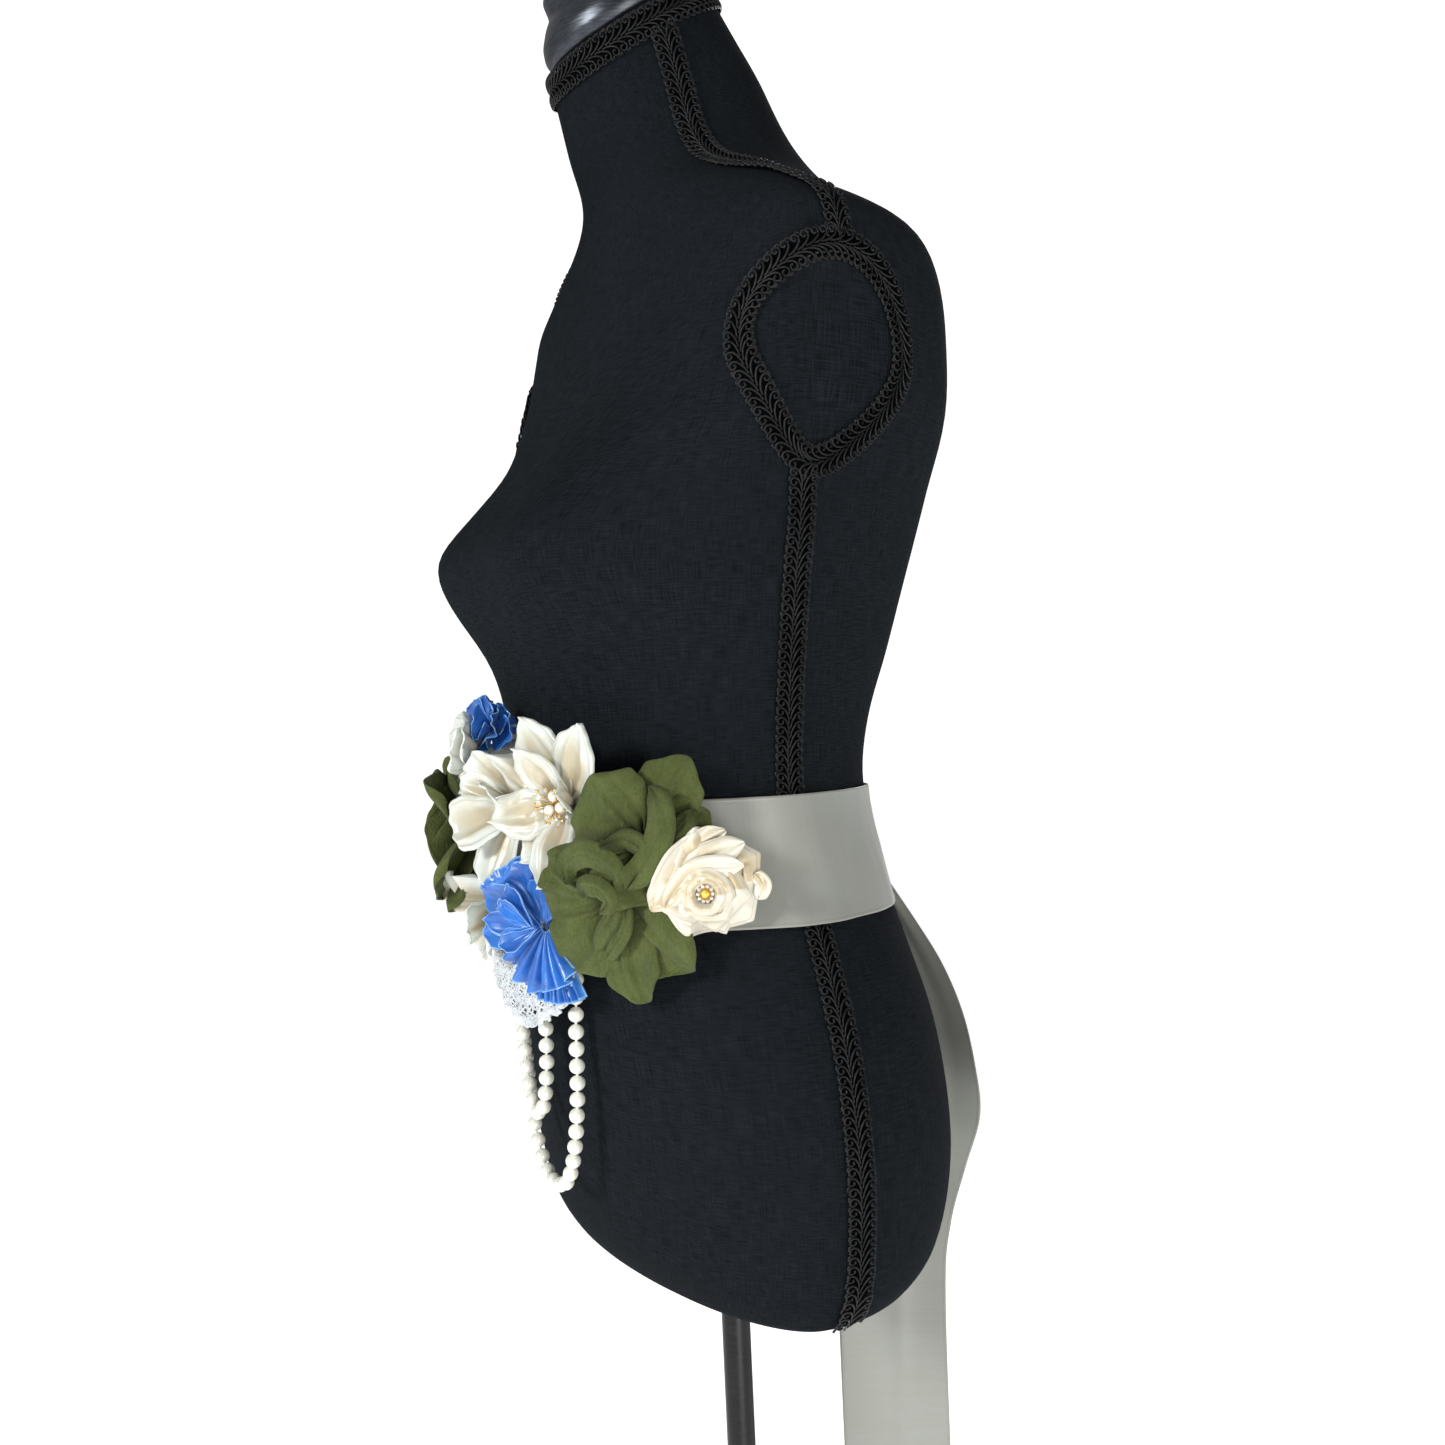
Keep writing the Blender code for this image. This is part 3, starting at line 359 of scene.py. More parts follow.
def metres(rows, *columns):
    # A table in millimetres, with these columns in metres.
    return [tuple(v / 1000 if k in columns else v for k, v in enumerate(row)) for row in rows]


# Mesh helpers

def addObject(name, mesh, finish, slot=None):
    mesh.materials.clear()
    mesh.materials.append(finishes[finish])
    mesh.shade_smooth()
    made = linked(name, mesh)
    made["finish"] = slot or finish
    return made


def faceTo(made, way):
    # Flips the faces unless the first looks the right way for its middle.
    first = made.data.polygons[0]
    if first.normal.dot(way(first.center)) < 0:
        made.data.flip_normals()


def settle(made, *nodes):
    # The piece rides on the form, and stands for its solids.
    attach(made, "root")
    if nodes:
        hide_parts(*nodes)
    return made


class Cloth:
    # Grids of points gathered into one mesh, with their own lengths as its map.
    def __init__(self):
        self.verts = []
        self.faces = []
        self.uvs = []

    def grid(self, rows, joinRows=False, joinColumns=False, size=(1.0, 1.0)):
        first = len(self.verts)
        height = len(rows)
        width = len(rows[0])
        self.verts += [tuple(point) for row in rows for point in row]
        downs = height if joinRows else height - 1
        overs = width if joinColumns else width - 1
        for i in range(downs):
            for j in range(overs):
                nextI = (i + 1) % height
                nextJ = (j + 1) % width
                self.faces.append((first + i * width + j, first + i * width + nextJ,
                                   first + nextI * width + nextJ, first + nextI * width + j))
                for di, dj in ((0, 0), (0, 1), (1, 1), (1, 0)):
                    self.uvs += [(j + dj) / overs * size[0], (i + di) / downs * size[1]]

    def fan(self, ring, flip=False):
        # Closes a ring of points with a fan about its middle.
        first = len(self.verts)
        count = len(ring)
        self.verts += [tuple(point) for point in ring]
        self.verts.append(tuple(sum((Vector(p) for p in ring), Vector()) / count))
        for j in range(count):
            pair = (first + j, first + (j + 1) % count)
            self.faces.append((*(pair[::-1] if flip else pair), first + count))
            self.uvs += [0.0, 0.0, 1.0, 0.0, 0.5, 1.0]

    def mesh(self, name, merge=0.0):
        mesh = bpy.data.meshes.new(name)
        mesh.from_pydata(self.verts, [], self.faces)
        mesh.uv_layers.new(name="cloth").data.foreach_set("uv", self.uvs)
        if merge:
            bm = bmesh.new()
            bm.from_mesh(mesh)
            bmesh.ops.remove_doubles(bm, verts=bm.verts, dist=merge)
            bmesh.ops.recalc_face_normals(bm, faces=bm.faces)
            bm.to_mesh(mesh)
            bm.free()
        return mesh


def thicken(made, thickness, offset=0.0, levels=1):
    wall = made.modifiers.new("thickness", "SOLIDIFY")
    wall.thickness = thickness
    wall.offset = offset
    if levels:
        smooth = made.modifiers.new("smooth", "SUBSURF")
        smooth.levels = levels
        smooth.render_levels = levels


def lathe(name, profile, steps, finish, place=Matrix()):
    # A turned shape. Its profile runs from the axis at the top to the axis below.
    rows = []
    for i in range(steps):
        turn = 2 * pi * i / steps
        rows.append([Vector((r * cos(turn), r * sin(turn), z)) for r, z in profile])
    cloth = Cloth()
    cloth.grid(rows, joinRows=True)
    mesh = cloth.mesh(name, merge=0.00001)
    mesh.transform(place)
    made = addObject(name, mesh, finish)
    mesh.set_sharp_from_angle(angle=radians(50))
    return made


def rounded(profile, radius=0.0012, steps=3):
    # The same profile with its corners eased.
    made = [profile[0]]
    for before, here, after in zip(profile, profile[1:], profile[2:]):
        a = Vector(before) - Vector(here)
        b = Vector(after) - Vector(here)
        reach = min(radius, a.length * 0.45, b.length * 0.45)
        start = Vector(here) + a.normalized() * reach
        end = Vector(here) + b.normalized() * reach
        for k in range(steps + 1):
            t = k / steps
            made.append(tuple(start * (1 - t) ** 2 + Vector(here) * 2 * t * (1 - t) + end * t * t))
    made.append(profile[-1])
    return made


def spline(points, samples):
    # Points on a smooth curve through the given ones.
    made = []
    last = len(points) - 1
    for step in range(samples + 1):
        place = step / samples * last
        i = min(int(place), last - 1)
        t = place - i
        a = Vector(points[max(i - 1, 0)])
        b = Vector(points[i])
        c = Vector(points[i + 1])
        d = Vector(points[min(i + 2, last)])
        made.append(0.5 * (2 * b + (c - a) * t + (2 * a - 5 * b + 4 * c - d) * t * t
                           + (3 * b - a - 3 * c + d) * t ** 3))
    return made


def along(points, pitch, closed=False):
    # Even steps along a line of points: each place and the way ahead.
    line = points + [points[0]] if closed else points
    reach = [0.0]
    for a, b in zip(line, line[1:]):
        reach.append(reach[-1] + (b - a).length)
    count = max(2, round(reach[-1] / pitch))
    made = []
    i = 0
    for k in range(count if closed else count + 1):
        target = reach[-1] * k / count
        while i < len(line) - 2 and reach[i + 1] < target:
            i += 1
        t = (target - reach[i]) / max(reach[i + 1] - reach[i], 1e-9)
        made.append((line[i].lerp(line[i + 1], t), (line[i + 1] - line[i]).normalized()))
    return made


def shareAt(table, place):
    # A smooth value between the stops of a short table.
    for (a, low), (b, high) in zip(table, table[1:]):
        if place <= b:
            t = (place - a) / (b - a)
            t = t * t * (3 - 2 * t)
            return low + (high - low) * t
    return table[-1][1]


# The dress form

sideLine = -0.020
formRings = metres([
    # height, half width, front, back, tilt in degrees, squareness
    (795, 128, -62, 70, 0, 2), (801, 140, -70, 83, 0, 2), (818, 151, -79.5, 97, 0, 2),
    (850, 157, -87.5, 107, 0, 2), (885, 158, -94.5, 108, 0, 2), (930, 152, -101.5, 102, 0, 2),
    (970, 139, -107.5, 91, 0, 2), (1000, 127, -110.5, 83, 0, 2), (1030, 117, -110.5, 78.5, 0, 2),
    (1060, 112, -109, 76, 0, 2), (1090, 114.5, -110, 81.5, 0, 2), (1125, 120, -115, 96, 0, 2),
    (1160, 127, -126, 108.5, 0, 2), (1185, 133, -129, 117, 0, 2), (1210, 137, -113, 120, 0, 2.2),
    (1250, 145, -83, 125, 0, 2.5), (1290, 150, -62.5, 125, 0, 2.5), (1320, 153, -51.5, 121, 0, 2.4),
    (1340, 149, -47, 115, 0, 2.2), (1356, 126, -45.5, 106, 0, 2), (1370, 98, -48, 92, 0, 2),
    (1385, 74, -53, 76, 2, 2), (1402, 60, -60, 60, 10, 2), (1422, 54.5, -68, 52, 20, 2),
    (1448, 51, -75.5, 34.5, 27, 2), (1475.3, 48, -83.1, 16.5, 32, 2),
], 0, 1, 2, 3)
bust = {"height": 1.178, "spread": 0.062, "depth": 0.017, "rise": 0.040, "width": 0.042}
formSteps = {"round": 128, "between": 5}
neckFoot = {"height": 1.385, "reach": 0.034, "rounds": 26}


def ringAt(height):
    # The form's ring at a height, smooth between those of the table.
    for i in range(len(formRings) - 1):
        low, high = formRings[i], formRings[i + 1]
        if height <= high[0] or i == len(formRings) - 2:
            before = formRings[max(i - 1, 0)]
            after = formRings[min(i + 2, len(formRings) - 1)]
            gap = high[0] - low[0]
            t = max(0.0, (height - low[0]) / gap)
            row = [height]
            for k in range(1, 6):
                slopeLow = (high[k] - before[k]) / max(high[0] - before[0], 1e-6) * gap
                slopeHigh = (after[k] - low[k]) / max(after[0] - low[0], 1e-6) * gap
                row.append((2 * t ** 3 - 3 * t * t + 1) * low[k] + (t ** 3 - 2 * t * t + t) * slopeLow
                           + (3 * t * t - 2 * t ** 3) * high[k] + (t ** 3 - t * t) * slopeHigh)
            return row


def ringPoint(row, azimuth):
    # Azimuth 0 is the front, 90 degrees the form's left side and 180 the back.
    height, halfWidth, front, back, tilt, power = row
    flat = tilt < 0.5
    side = sideLine if flat else (front + back) / 2
    over = sin(azimuth)
    ahead = cos(azimuth)
    x = halfWidth * copysign(abs(over) ** (2 / power), over)
    reach = abs(ahead) ** (2 / power)
    y = side + (front - side) * reach if ahead > 0 else side + (back - side) * reach
    if ahead > 0 and flat:
        rise = bell(height - bust["height"], bust["rise"])
        lobes = sum(bell(x - s * bust["spread"], bust["width"]) for s in (-1, 1))
        y -= bust["depth"] * rise * lobes * min(1.0, ahead * 2.5)
    centre = (front + back) / 2
    turn = radians(tilt)
    return Vector((x, centre + (y - centre) * cos(turn), height + (y - centre) * sin(turn)))


def makeForm():
    heights = []
    for low, high in zip(formRings, formRings[1:]):
        heights += [low[0] + (high[0] - low[0]) * k / formSteps["between"] for k in range(formSteps["between"])]
    heights.append(formRings[-1][0])
    count = formSteps["round"]
    rows = []
    for height in heights:
        row = ringAt(height)
        if row[4] < 0.5:
            row[4] = 0
        rows.append([ringPoint(row, 2 * pi * j / count) for j in range(count)])
    # The cloth rounds over the foot of the neck.
    for _ in range(neckFoot["rounds"]):
        eased = [row[:] for row in rows]
        for i in range(1, len(rows) - 1):
            share = bell(heights[i] - neckFoot["height"], neckFoot["reach"], 4)
            for j in range(count):
                eased[i][j] = rows[i][j].lerp((rows[i - 1][j] + rows[i + 1][j]) / 2, 0.5 * share)
        rows = eased
    cloth = Cloth()
    cloth.grid(rows, joinColumns=True, size=(0.84, 0.72))
    # The turned-in hem under the form, and the cloth over the neck's top.
    bottom = rows[0]
    middle = sum(bottom, Vector()) / count
    inner = [[middle.lerp(p, share) + Vector((0, 0, drop)) for p in bottom]
             for share, drop in ((0.02, 0.0015), (0.5, 0.0015), (0.93, 0.0015), (0.985, 0.0))]
    cloth.grid([*inner, bottom], joinColumns=True, size=(0.84, 0.15))
    cloth.fan(inner[0], True)
    cloth.fan(rows[-1], False)
    made = addObject("formCover", cloth.mesh("formCover", merge=0.00005), "form_cloth")
    made.data.set_sharp_from_angle(angle=radians(60))
    settle(made, "form_body")
    return made


formCover = makeForm()
formTree = BVHTree.FromPolygons([v.co for v in formCover.data.vertices],
                                [tuple(p.vertices) for p in formCover.data.polygons])
print("form: done")


def onForm(point, lift=0.0):
    place, normal, _, _ = formTree.find_nearest(Vector(point))
    return place + normal * lift


def normalAt(point):
    return formTree.find_nearest(Vector(point))[1]


def skin(azimuth, height, lift):
    # A point over the form at a height, straight out from it.
    row = ringAt(height)
    ahead = ringPoint(row, azimuth + 0.02) - ringPoint(row, azimuth - 0.02)
    return ringPoint(row, azimuth) + Vector((ahead.y, -ahead.x, 0)).normalized() * lift


# The scroll gimp on the form

gimp = {
    "width": 0.0150, "pitch": 0.0046, "thread": 0.00056, "lift": 0.0009,
    # One scroll in shares: ahead along the pitch, across from the middle line to the edge, and out in mm.
    "scroll": [
        (-1.00, 0.05, 0.4), (-0.35, 0.12, 0.9), (0.25, 0.30, 1.3), (0.72, 0.56, 1.4), (0.74, 0.86, 1.1),
        (0.34, 1.02, 0.9), (-0.02, 0.86, 1.0), (0.10, 0.60, 1.3), (0.40, 0.64, 1.6),
    ],
    "scrollSteps": 9, "nubSteps": 3, "nub": 0.0011, "sides": 4,
    "tapeLift": 0.0004, "tapeHalf": 0.36, "tapeThick": 0.0006,
}

def scrollUnit():
    # Two open scrolls, one to each side, and a nub on each edge.
    fine = spline(gimp["scroll"], gimp["scrollSteps"])
    half = gimp["width"] / 2
    verts = []
    edges = []
    for side, stagger in ((-1, 0.5), (1, 0.0)):
        line = [((p.x + stagger) * gimp["pitch"], side * p.y * half, p.z * 0.001) for p in fine]
        nub = []
        for k in range(gimp["nubSteps"] + 1):
            turn = k / gimp["nubSteps"] * pi
            nub.append(((stagger - 0.35) * gimp["pitch"] + gimp["nub"] * cos(turn),
                        side * (half - 0.0006 + gimp["nub"] * sin(turn)), 0.0006))
        for points in (line, nub):
            first = len(verts)
            verts += points
            edges += [(first + k, first + k + 1) for k in range(len(points) - 1)]
    mesh = bpy.data.meshes.new("scrollUnit")
    mesh.from_pydata(verts, edges, [])
    return bpy.data.objects.new("scrollUnit", mesh)


def nodeTree(name, inputs, steps):
    # steps: label, kind, settings and inputs, where a pair is another step's label and output.
    tree = bpy.data.node_groups.new(name, "GeometryNodeTree")
    for label, kind in inputs.items():
        tree.interface.new_socket(label, in_out="INPUT", socket_type="NodeSocket" + kind)
    tree.interface.new_socket("Geometry", in_out="OUTPUT", socket_type="NodeSocketGeometry")
    made = {"given": tree.nodes.new("NodeGroupInput")}
    for label, kind, settings, sockets in steps:
        node = made[label] = tree.nodes.new(kind)
        for key, value in settings.items():
            setattr(node, key, value)
        for key, value in sockets.items():
            if isinstance(value, tuple):
                tree.links.new(made[value[0]].outputs[value[1]], node.inputs[key])
            else:
                node.inputs[key].default_value = value
    return tree


def tubeSteps(source, sides):
    # Edges turned into round threads.
    return [
        ("curve", "GeometryNodeMeshToCurve", {}, {"Mesh": source}),
        ("profile", "GeometryNodeCurvePrimitiveCircle", {},
         {"Resolution": sides, "Radius": ("given", "Thread radius")}),
        ("tube", "GeometryNodeCurveToMesh", {},
         {"Curve": ("curve", 0), "Profile Curve": ("profile", "Curve"), "Fill Caps": True}),
    ]


def lastSteps(source):
    return [
        ("real", "GeometryNodeRealizeInstances", {}, {0: source}),
        ("smooth", "GeometryNodeSetShadeSmooth", {}, {"Geometry": ("real", 0)}),
        ("finish", "GeometryNodeSetMaterial", {}, {"Geometry": ("smooth", 0), "Material": ("given", "Finish")}),
        ("result", "NodeGroupOutput", {}, {0: ("finish", 0)}),
    ]


def alignSteps(label, way, axis, pivot, turned):
    # Turns the copies so that an axis follows a way stored on the points.
    return [
        (way, "GeometryNodeInputNamedAttribute", {"data_type": "FLOAT_VECTOR"}, {"Name": way}),
        (label, "FunctionNodeAlignRotationToVector", {"axis": axis, "pivot_axis": pivot},
         {"Vector": (way, "Attribute"), **turned}),
    ]


# Sets one scroll at each point of a path, turned to its way ahead and out.
braidTree = nodeTree("scrollBraid", {
    "Geometry": "Geometry", "Scroll": "Object", "Thread radius": "Float", "Finish": "Material",
}, [
    ("scroll", "GeometryNodeObjectInfo", {}, {"Object": ("given", "Scroll")}),
    *tubeSteps(("scroll", "Geometry"), gimp["sides"]),
    ("points", "GeometryNodeMeshToPoints", {}, {"Mesh": ("given", "Geometry")}),
    *alignSteps("upright", "out", "Z", "AUTO", {}),
    *alignSteps("turned", "ahead", "X", "Z", {"Rotation": ("upright", 0)}),
    ("copies", "GeometryNodeInstanceOnPoints", {},
     {"Points": ("points", 0), "Instance": ("tube", 0), "Rotation": ("turned", 0)}),
    *lastSteps(("copies", 0)),
])
# Turns a net of edges into round threads.
threadTree = nodeTree("threadNet", {"Geometry": "Geometry", "Thread radius": "Float", "Finish": "Material"}, [
    *tubeSteps(("given", "Geometry"), 6),
    *lastSteps(("tube", 0)),
])
scroll = scrollUnit()


def byTree(name, tree, verts, edges, finish, inputs, ways):
    # Points and edges that a node tree works on, kept as a plain mesh.
    mesh = bpy.data.meshes.new(name)
    mesh.from_pydata([tuple(v) for v in verts], edges, [])
    for label, values in ways.items():
        layer = mesh.attributes.new(label, "FLOAT_VECTOR", "POINT")
        layer.data.foreach_set("vector", [c for way in values for c in way])
    made = linked(name, mesh)
    step = made.modifiers.new("work", "NODES")
    step.node_group = tree
    given = {"Finish": finishes[finish], **inputs}
    for item in tree.interface.items_tree:
        if item.in_out == "INPUT" and item.name in given:
            step[item.identifier] = given[item.name]
    bpy.context.view_layer.update()
    graph = bpy.context.evaluated_depsgraph_get()
    kept = bpy.data.meshes.new_from_object(made.evaluated_get(graph))
    made.modifiers.clear()
    made.data = kept
    made.data.shade_smooth()
    made["finish"] = finish
    return made


def makeBraid(name, line, node, closed=False, width=gimp["width"]):
    spots, aheads, outs = [], [], []
    for place, ahead in along(line, gimp["pitch"], closed):
        out = normalAt(place)
        spots.append(onForm(place, gimp["lift"]))
        aheads.append((ahead - out * ahead.dot(out)).normalized())
        outs.append(out)
    made = byTree(name, braidTree, spots, [], "gimp_black", {"Scroll": scroll, "Thread radius": gimp["thread"]},
                  {"ahead": aheads, "out": outs})
    # The woven tape that the scrolls are worked on, in the braid's black with painted shade for the gaps.
    tape = Cloth()
    tape.grid([[onForm(place + out.cross(ahead) * width * share, gimp["tapeLift"])
                for share in (-gimp["tapeHalf"], 0, gimp["tapeHalf"])]
               for place, ahead, out in zip(spots, aheads, outs)], joinRows=closed)
    base = addObject(name + "Tape", tape.mesh(name + "Tape"), "gimp_tape_gap_shade", "gimp_black")
    faceTo(base, normalAt)
    thicken(base, gimp["tapeThick"], 1.0, 0)
    settle(base)
    settle(made, node)


armhole = {"y": -0.0055, "height": 1.2635, "halfWidth": 0.0440, "halfHeight": 0.0505, "pointShift": 0.010}


def makeGimps():
    neck = []
    for j in range(96):
        azimuth = 2 * pi * j / 96
        top = ringPoint(ringAt(formRings[-1][0]), azimuth)
        low = ringPoint(ringAt(formRings[-2][0]), azimuth)
        neck.append(top + (low - top).normalized() * 0.0093)
    makeBraid("braidNeck", neck, "gimp_neck", True, 0.0165)
    for label, side in (("left", 1), ("right", -1)):
        ring = []
        for i in range(96):
            turn = 2 * pi * i / 96
            low = max(0.0, -cos(turn))
            y = armhole["y"] + armhole["halfWidth"] * sin(turn) * (1 - 0.40 * low ** 1.5)
            y -= armhole["pointShift"] * low ** 2
            z = armhole["height"] + armhole["halfHeight"] * cos(turn)
            ring.append(formTree.ray_cast(Vector((side * 0.30, y, z)), Vector((-side, 0, 0)))[0])
        makeBraid(f"braidArmhole{label.title()}", ring, f"gimp_armhole_{label}", True)
        seam = [ringPoint(ringAt(0.803 + 0.4030 * k / 120), side * pi / 2) for k in range(121)]
        makeBraid(f"braidSide{label.title()}", seam, f"gimp_side_{label}")
        shoulder = spline([
            (side * 0.1560, -0.004, 1.3200), (side * 0.1530, -0.007, 1.3355), (side * 0.146, -0.011, 1.345),
            (side * 0.130, -0.018, 1.353), (side * 0.108, -0.022, 1.362), (side * 0.084, -0.024, 1.376),
            (side * 0.064, -0.024, 1.390), (side * 0.055, -0.026, 1.405), (side * 0.0515, -0.029, 1.424),
            (side * 0.0495, -0.034, 1.446), (side * 0.0488, -0.0355, 1.4525),
        ], 120)
        makeBraid(f"braidShoulder{label.title()}", [onForm(p) for p in shoulder], f"gimp_shoulder_{label}")


makeGimps()
bpy.data.objects.remove(scroll)
print("gimp: done")


# The stand and the cap on the neck

stand = {"base": 0.155, "thick": 0.010, "socket": 0.022, "pole": 0.008, "gap": 0.0003}


def makeStand():
    top = stand["thick"] + stand["socket"]
    base = lathe("standBase", rounded([
        (0, top), (0.014, top), (0.016, top - 0.003), (0.018, stand["thick"] + 0.003), (0.024, stand["thick"]),
        (stand["base"] - 0.006, stand["thick"] - 0.002), (stand["base"], stand["thick"] - 0.006),
        (stand["base"], 0.0), (0, 0),
    ]), 128, "stand_metal")
    settle(base, "base")
    high = formRings[0][0] - stand["gap"]
    low = top + stand["gap"]
    ends = [(0, high), (stand["pole"], high), (stand["pole"], low), (0, low)]
    settle(lathe("standPole", rounded(ends, 0.0006), 48, "stand_metal"), "pole")


def makeCap():
    height, _, front, back, tilt, _ = formRings[-1]
    turn = radians(tilt)
    foot = Vector((0, (front + back) / 2, height)) + Vector((0, -sin(turn), cos(turn))) * stand["gap"]
    place = Matrix.Translation(foot) @ Matrix.Rotation(turn, 4, "X")
    cap = lathe("neckCap", rounded([
        (0, 0.066), (0.005, 0.0645), (0.0095, 0.058), (0.0125, 0.0510), (0.0130, 0.0465), (0.0128, 0.0435),
        (0.0165, 0.0410), (0.023, 0.039), (0.029, 0.037), (0.033, 0.033), (0.034, 0.024), (0.039, 0.020),
        (0.045, 0.013), (0.0475, 0.006), (0.0465, 0), (0, 0),
    ], 0.0022, 4), 128, "cap_metal", place)
    settle(cap, "neck_cap")


makeStand()
makeCap()
print("stand and cap: done")


# The ribbon: band, knot and tails

ribbon = {
    "width": 0.0635, "length": 0.68, "thick": 0.0007, "top": 1.0535, "lift": 0.0009, "round": 420, "rows": 16,
}
knot = {"half": 15, "low": 0.9975, "high": 1.052, "inner": 0.0026, "around": 48, "turns": 40}


def bandLift(azimuth):
    # The ribbon rides over the side gimp.
    lift = ribbon["lift"]
    for side in (pi / 2, 3 * pi / 2):
        offSide = abs((azimuth - side + pi) % (2 * pi) - pi)
        lift += 0.0026 * bell(offSide, 0.20, 4)
    return lift


def makeBand():
    # Slow ripples run through the ribbon, and it pulls in a little across its width.
    rows = []
    for i in range(ribbon["round"]):
        azimuth = 2 * pi * i / ribbon["round"]
        row = []
        for j in range(ribbon["rows"] + 1):
            share = j / ribbon["rows"]
            height = ribbon["top"] - ribbon["width"] * 0.98 * share
            around = Vector((sin(azimuth), -cos(azimuth), 0)) * 3.2
            ripple = noise.noise(around + Vector((0, 0, share * 1.2))) * 0.0011
            ripple += noise.noise(around * 2.6 + Vector((0, 0, share * 2.0 + 7))) * 0.0005
            pull = 0.0006 * sin(share * pi * 2.0 + 3.0 * sin(azimuth * 2))
            row.append(skin(azimuth, height, bandLift(azimuth) + 0.0012 + max(-0.0011, ripple + pull)))
        rows.append(row)
    cloth = Cloth()
    cloth.grid(rows, joinRows=True, size=(ribbon["width"], ribbon["length"]))
    made = addObject("sashBand", cloth.mesh("sashBand"), "ivory_ribbon")
    faceTo(made, lambda middle: middle * Vector((1, 1, 0)))
    thicken(made, ribbon["thick"])
    settle(made, "sash_band")


def makeKnot():
    # A flat knot: the ribbon passes over itself in upright gathers.
    rows = []
    for i in range(knot["around"] + 1):
        t = i / knot["around"] * 2 - 1
        azimuth = pi + t * radians(knot["half"])
        swell = sqrt(max(0.0, 1 - t * t))
        row = []
        for k in range(knot["turns"] + 1):
            high = 0.5 - 0.5 * cos(k / knot["turns"] * 2 * pi)
            lift = knot["inner"]
            if k <= knot["turns"] / 2:
                pleat = 0.0011 * sin(21 * t + 2.2 * high) + 0.0006 * sin(37 * t + 5 * high)
                fullness = sin(pi * min(1.0, high * 0.94 + 0.06)) ** 0.55
                lift += 0.0016 + (0.0125 * fullness) * swell + pleat * swell
            row.append(skin(azimuth, knot["low"] + (knot["high"] - knot["low"]) * high, lift))
        rows.append(row)
    cloth = Cloth()
    cloth.grid(rows, joinColumns=True, size=(0.10, 0.12))
    cloth.fan(rows[0], True)
    cloth.fan(rows[-1], False)
    made = addObject("sashKnot", cloth.mesh("sashKnot", merge=0.00005), "ivory_ribbon")
    settle(made, "knot_back")


tails = {
    # height, middle x, middle y, turn from +X toward +Y, width
    "tail_left": [
        (997.2, 10, 95.5, 8, 30), (970, 18, 104.5, 12, 46), (945, 24, 112.5, 14, 58), (917, 30, 119, 14, 62.5),
        (887, 35, 120.5, 16, 63.5), (855, 26.5, 124.5, 27, 63.5), (820, 11, 121.5, 38, 63.5),
        (785, 5, 112, 48, 63.5), (740, 3, 107, 56, 63.5), (600, 2, 106, 60, 63.5), (450, 2, 105.5, 62, 63.5),
        (300, 1, 106, 61, 63.5),
    ],
    "tail_right": [
        (997.2, -9, 90, -8, 30), (970, -24, 100, -10, 44), (945, -33.5, 107.5, -8, 54),
        (917, -34.5, 114, -2, 60), (887, -35, 119, 5, 62), (855, -29, 124, 18, 63.5), (820, -26, 127, 32, 63.5),
        (785, -22, 124, 46, 63.5), (740, -20, 121, 54, 63.5), (600, -19, 120, 58, 63.5),
        (470, -19, 120, 57, 63.5), (360, -20, 120, 59, 63.5),
    ],
}


tailSteps = {"along": 150, "across": 16}


def makeTail(name, node, seed):
    table = metres(tails[node], 0, 1, 2, 4)
    smooth = spline([(x, y, height) for height, x, y, _, _ in table], tailSteps["along"])
    turns = spline([(turn, width, 0) for _, _, _, turn, width in table], tailSteps["along"])
    rows = []
    length = 0.0
    for i, middle in enumerate(smooth):
        turn = radians(turns[i].x)
        half = turns[i].y / 2
        across = Vector((cos(turn), sin(turn), 0))
        back = Vector((across.y, -across.x, 0))
        length += (middle - smooth[i - 1]).length if i else 0.0
        gathered = max(0.0, 1 - half / 0.0318) * 0.010
        row = []
        for j in range(tailSteps["across"] + 1):
            v = j / tailSteps["across"] * 2 - 1
            bow = half * 0.10 * (v * v - 0.5)
            crease = 0.0016 * bell(v - 0.15, 0.10) * min(1.0, length / 0.12)
            pleat = gathered * sin(9 * v + seed) * 0.5
            ripple = noise.noise(Vector((v * 1.3, length * 7, seed))) * 0.0016
            row.append(middle + across * half * v + back * (bow + crease + pleat + ripple))
        rows.append(row)
    cloth = Cloth()
    cloth.grid(rows, size=(ribbon["width"], length))
    made = addObject(name, cloth.mesh(name), "ivory_ribbon")
    thicken(made, ribbon["thick"])
    settle(made, node)


makeBand()
makeKnot()
makeTail("tailLeft", "tail_left", 2.0)
makeTail("tailRight", "tail_right", 5.0)
print("ribbon: done")


# Felt, lace and pearls

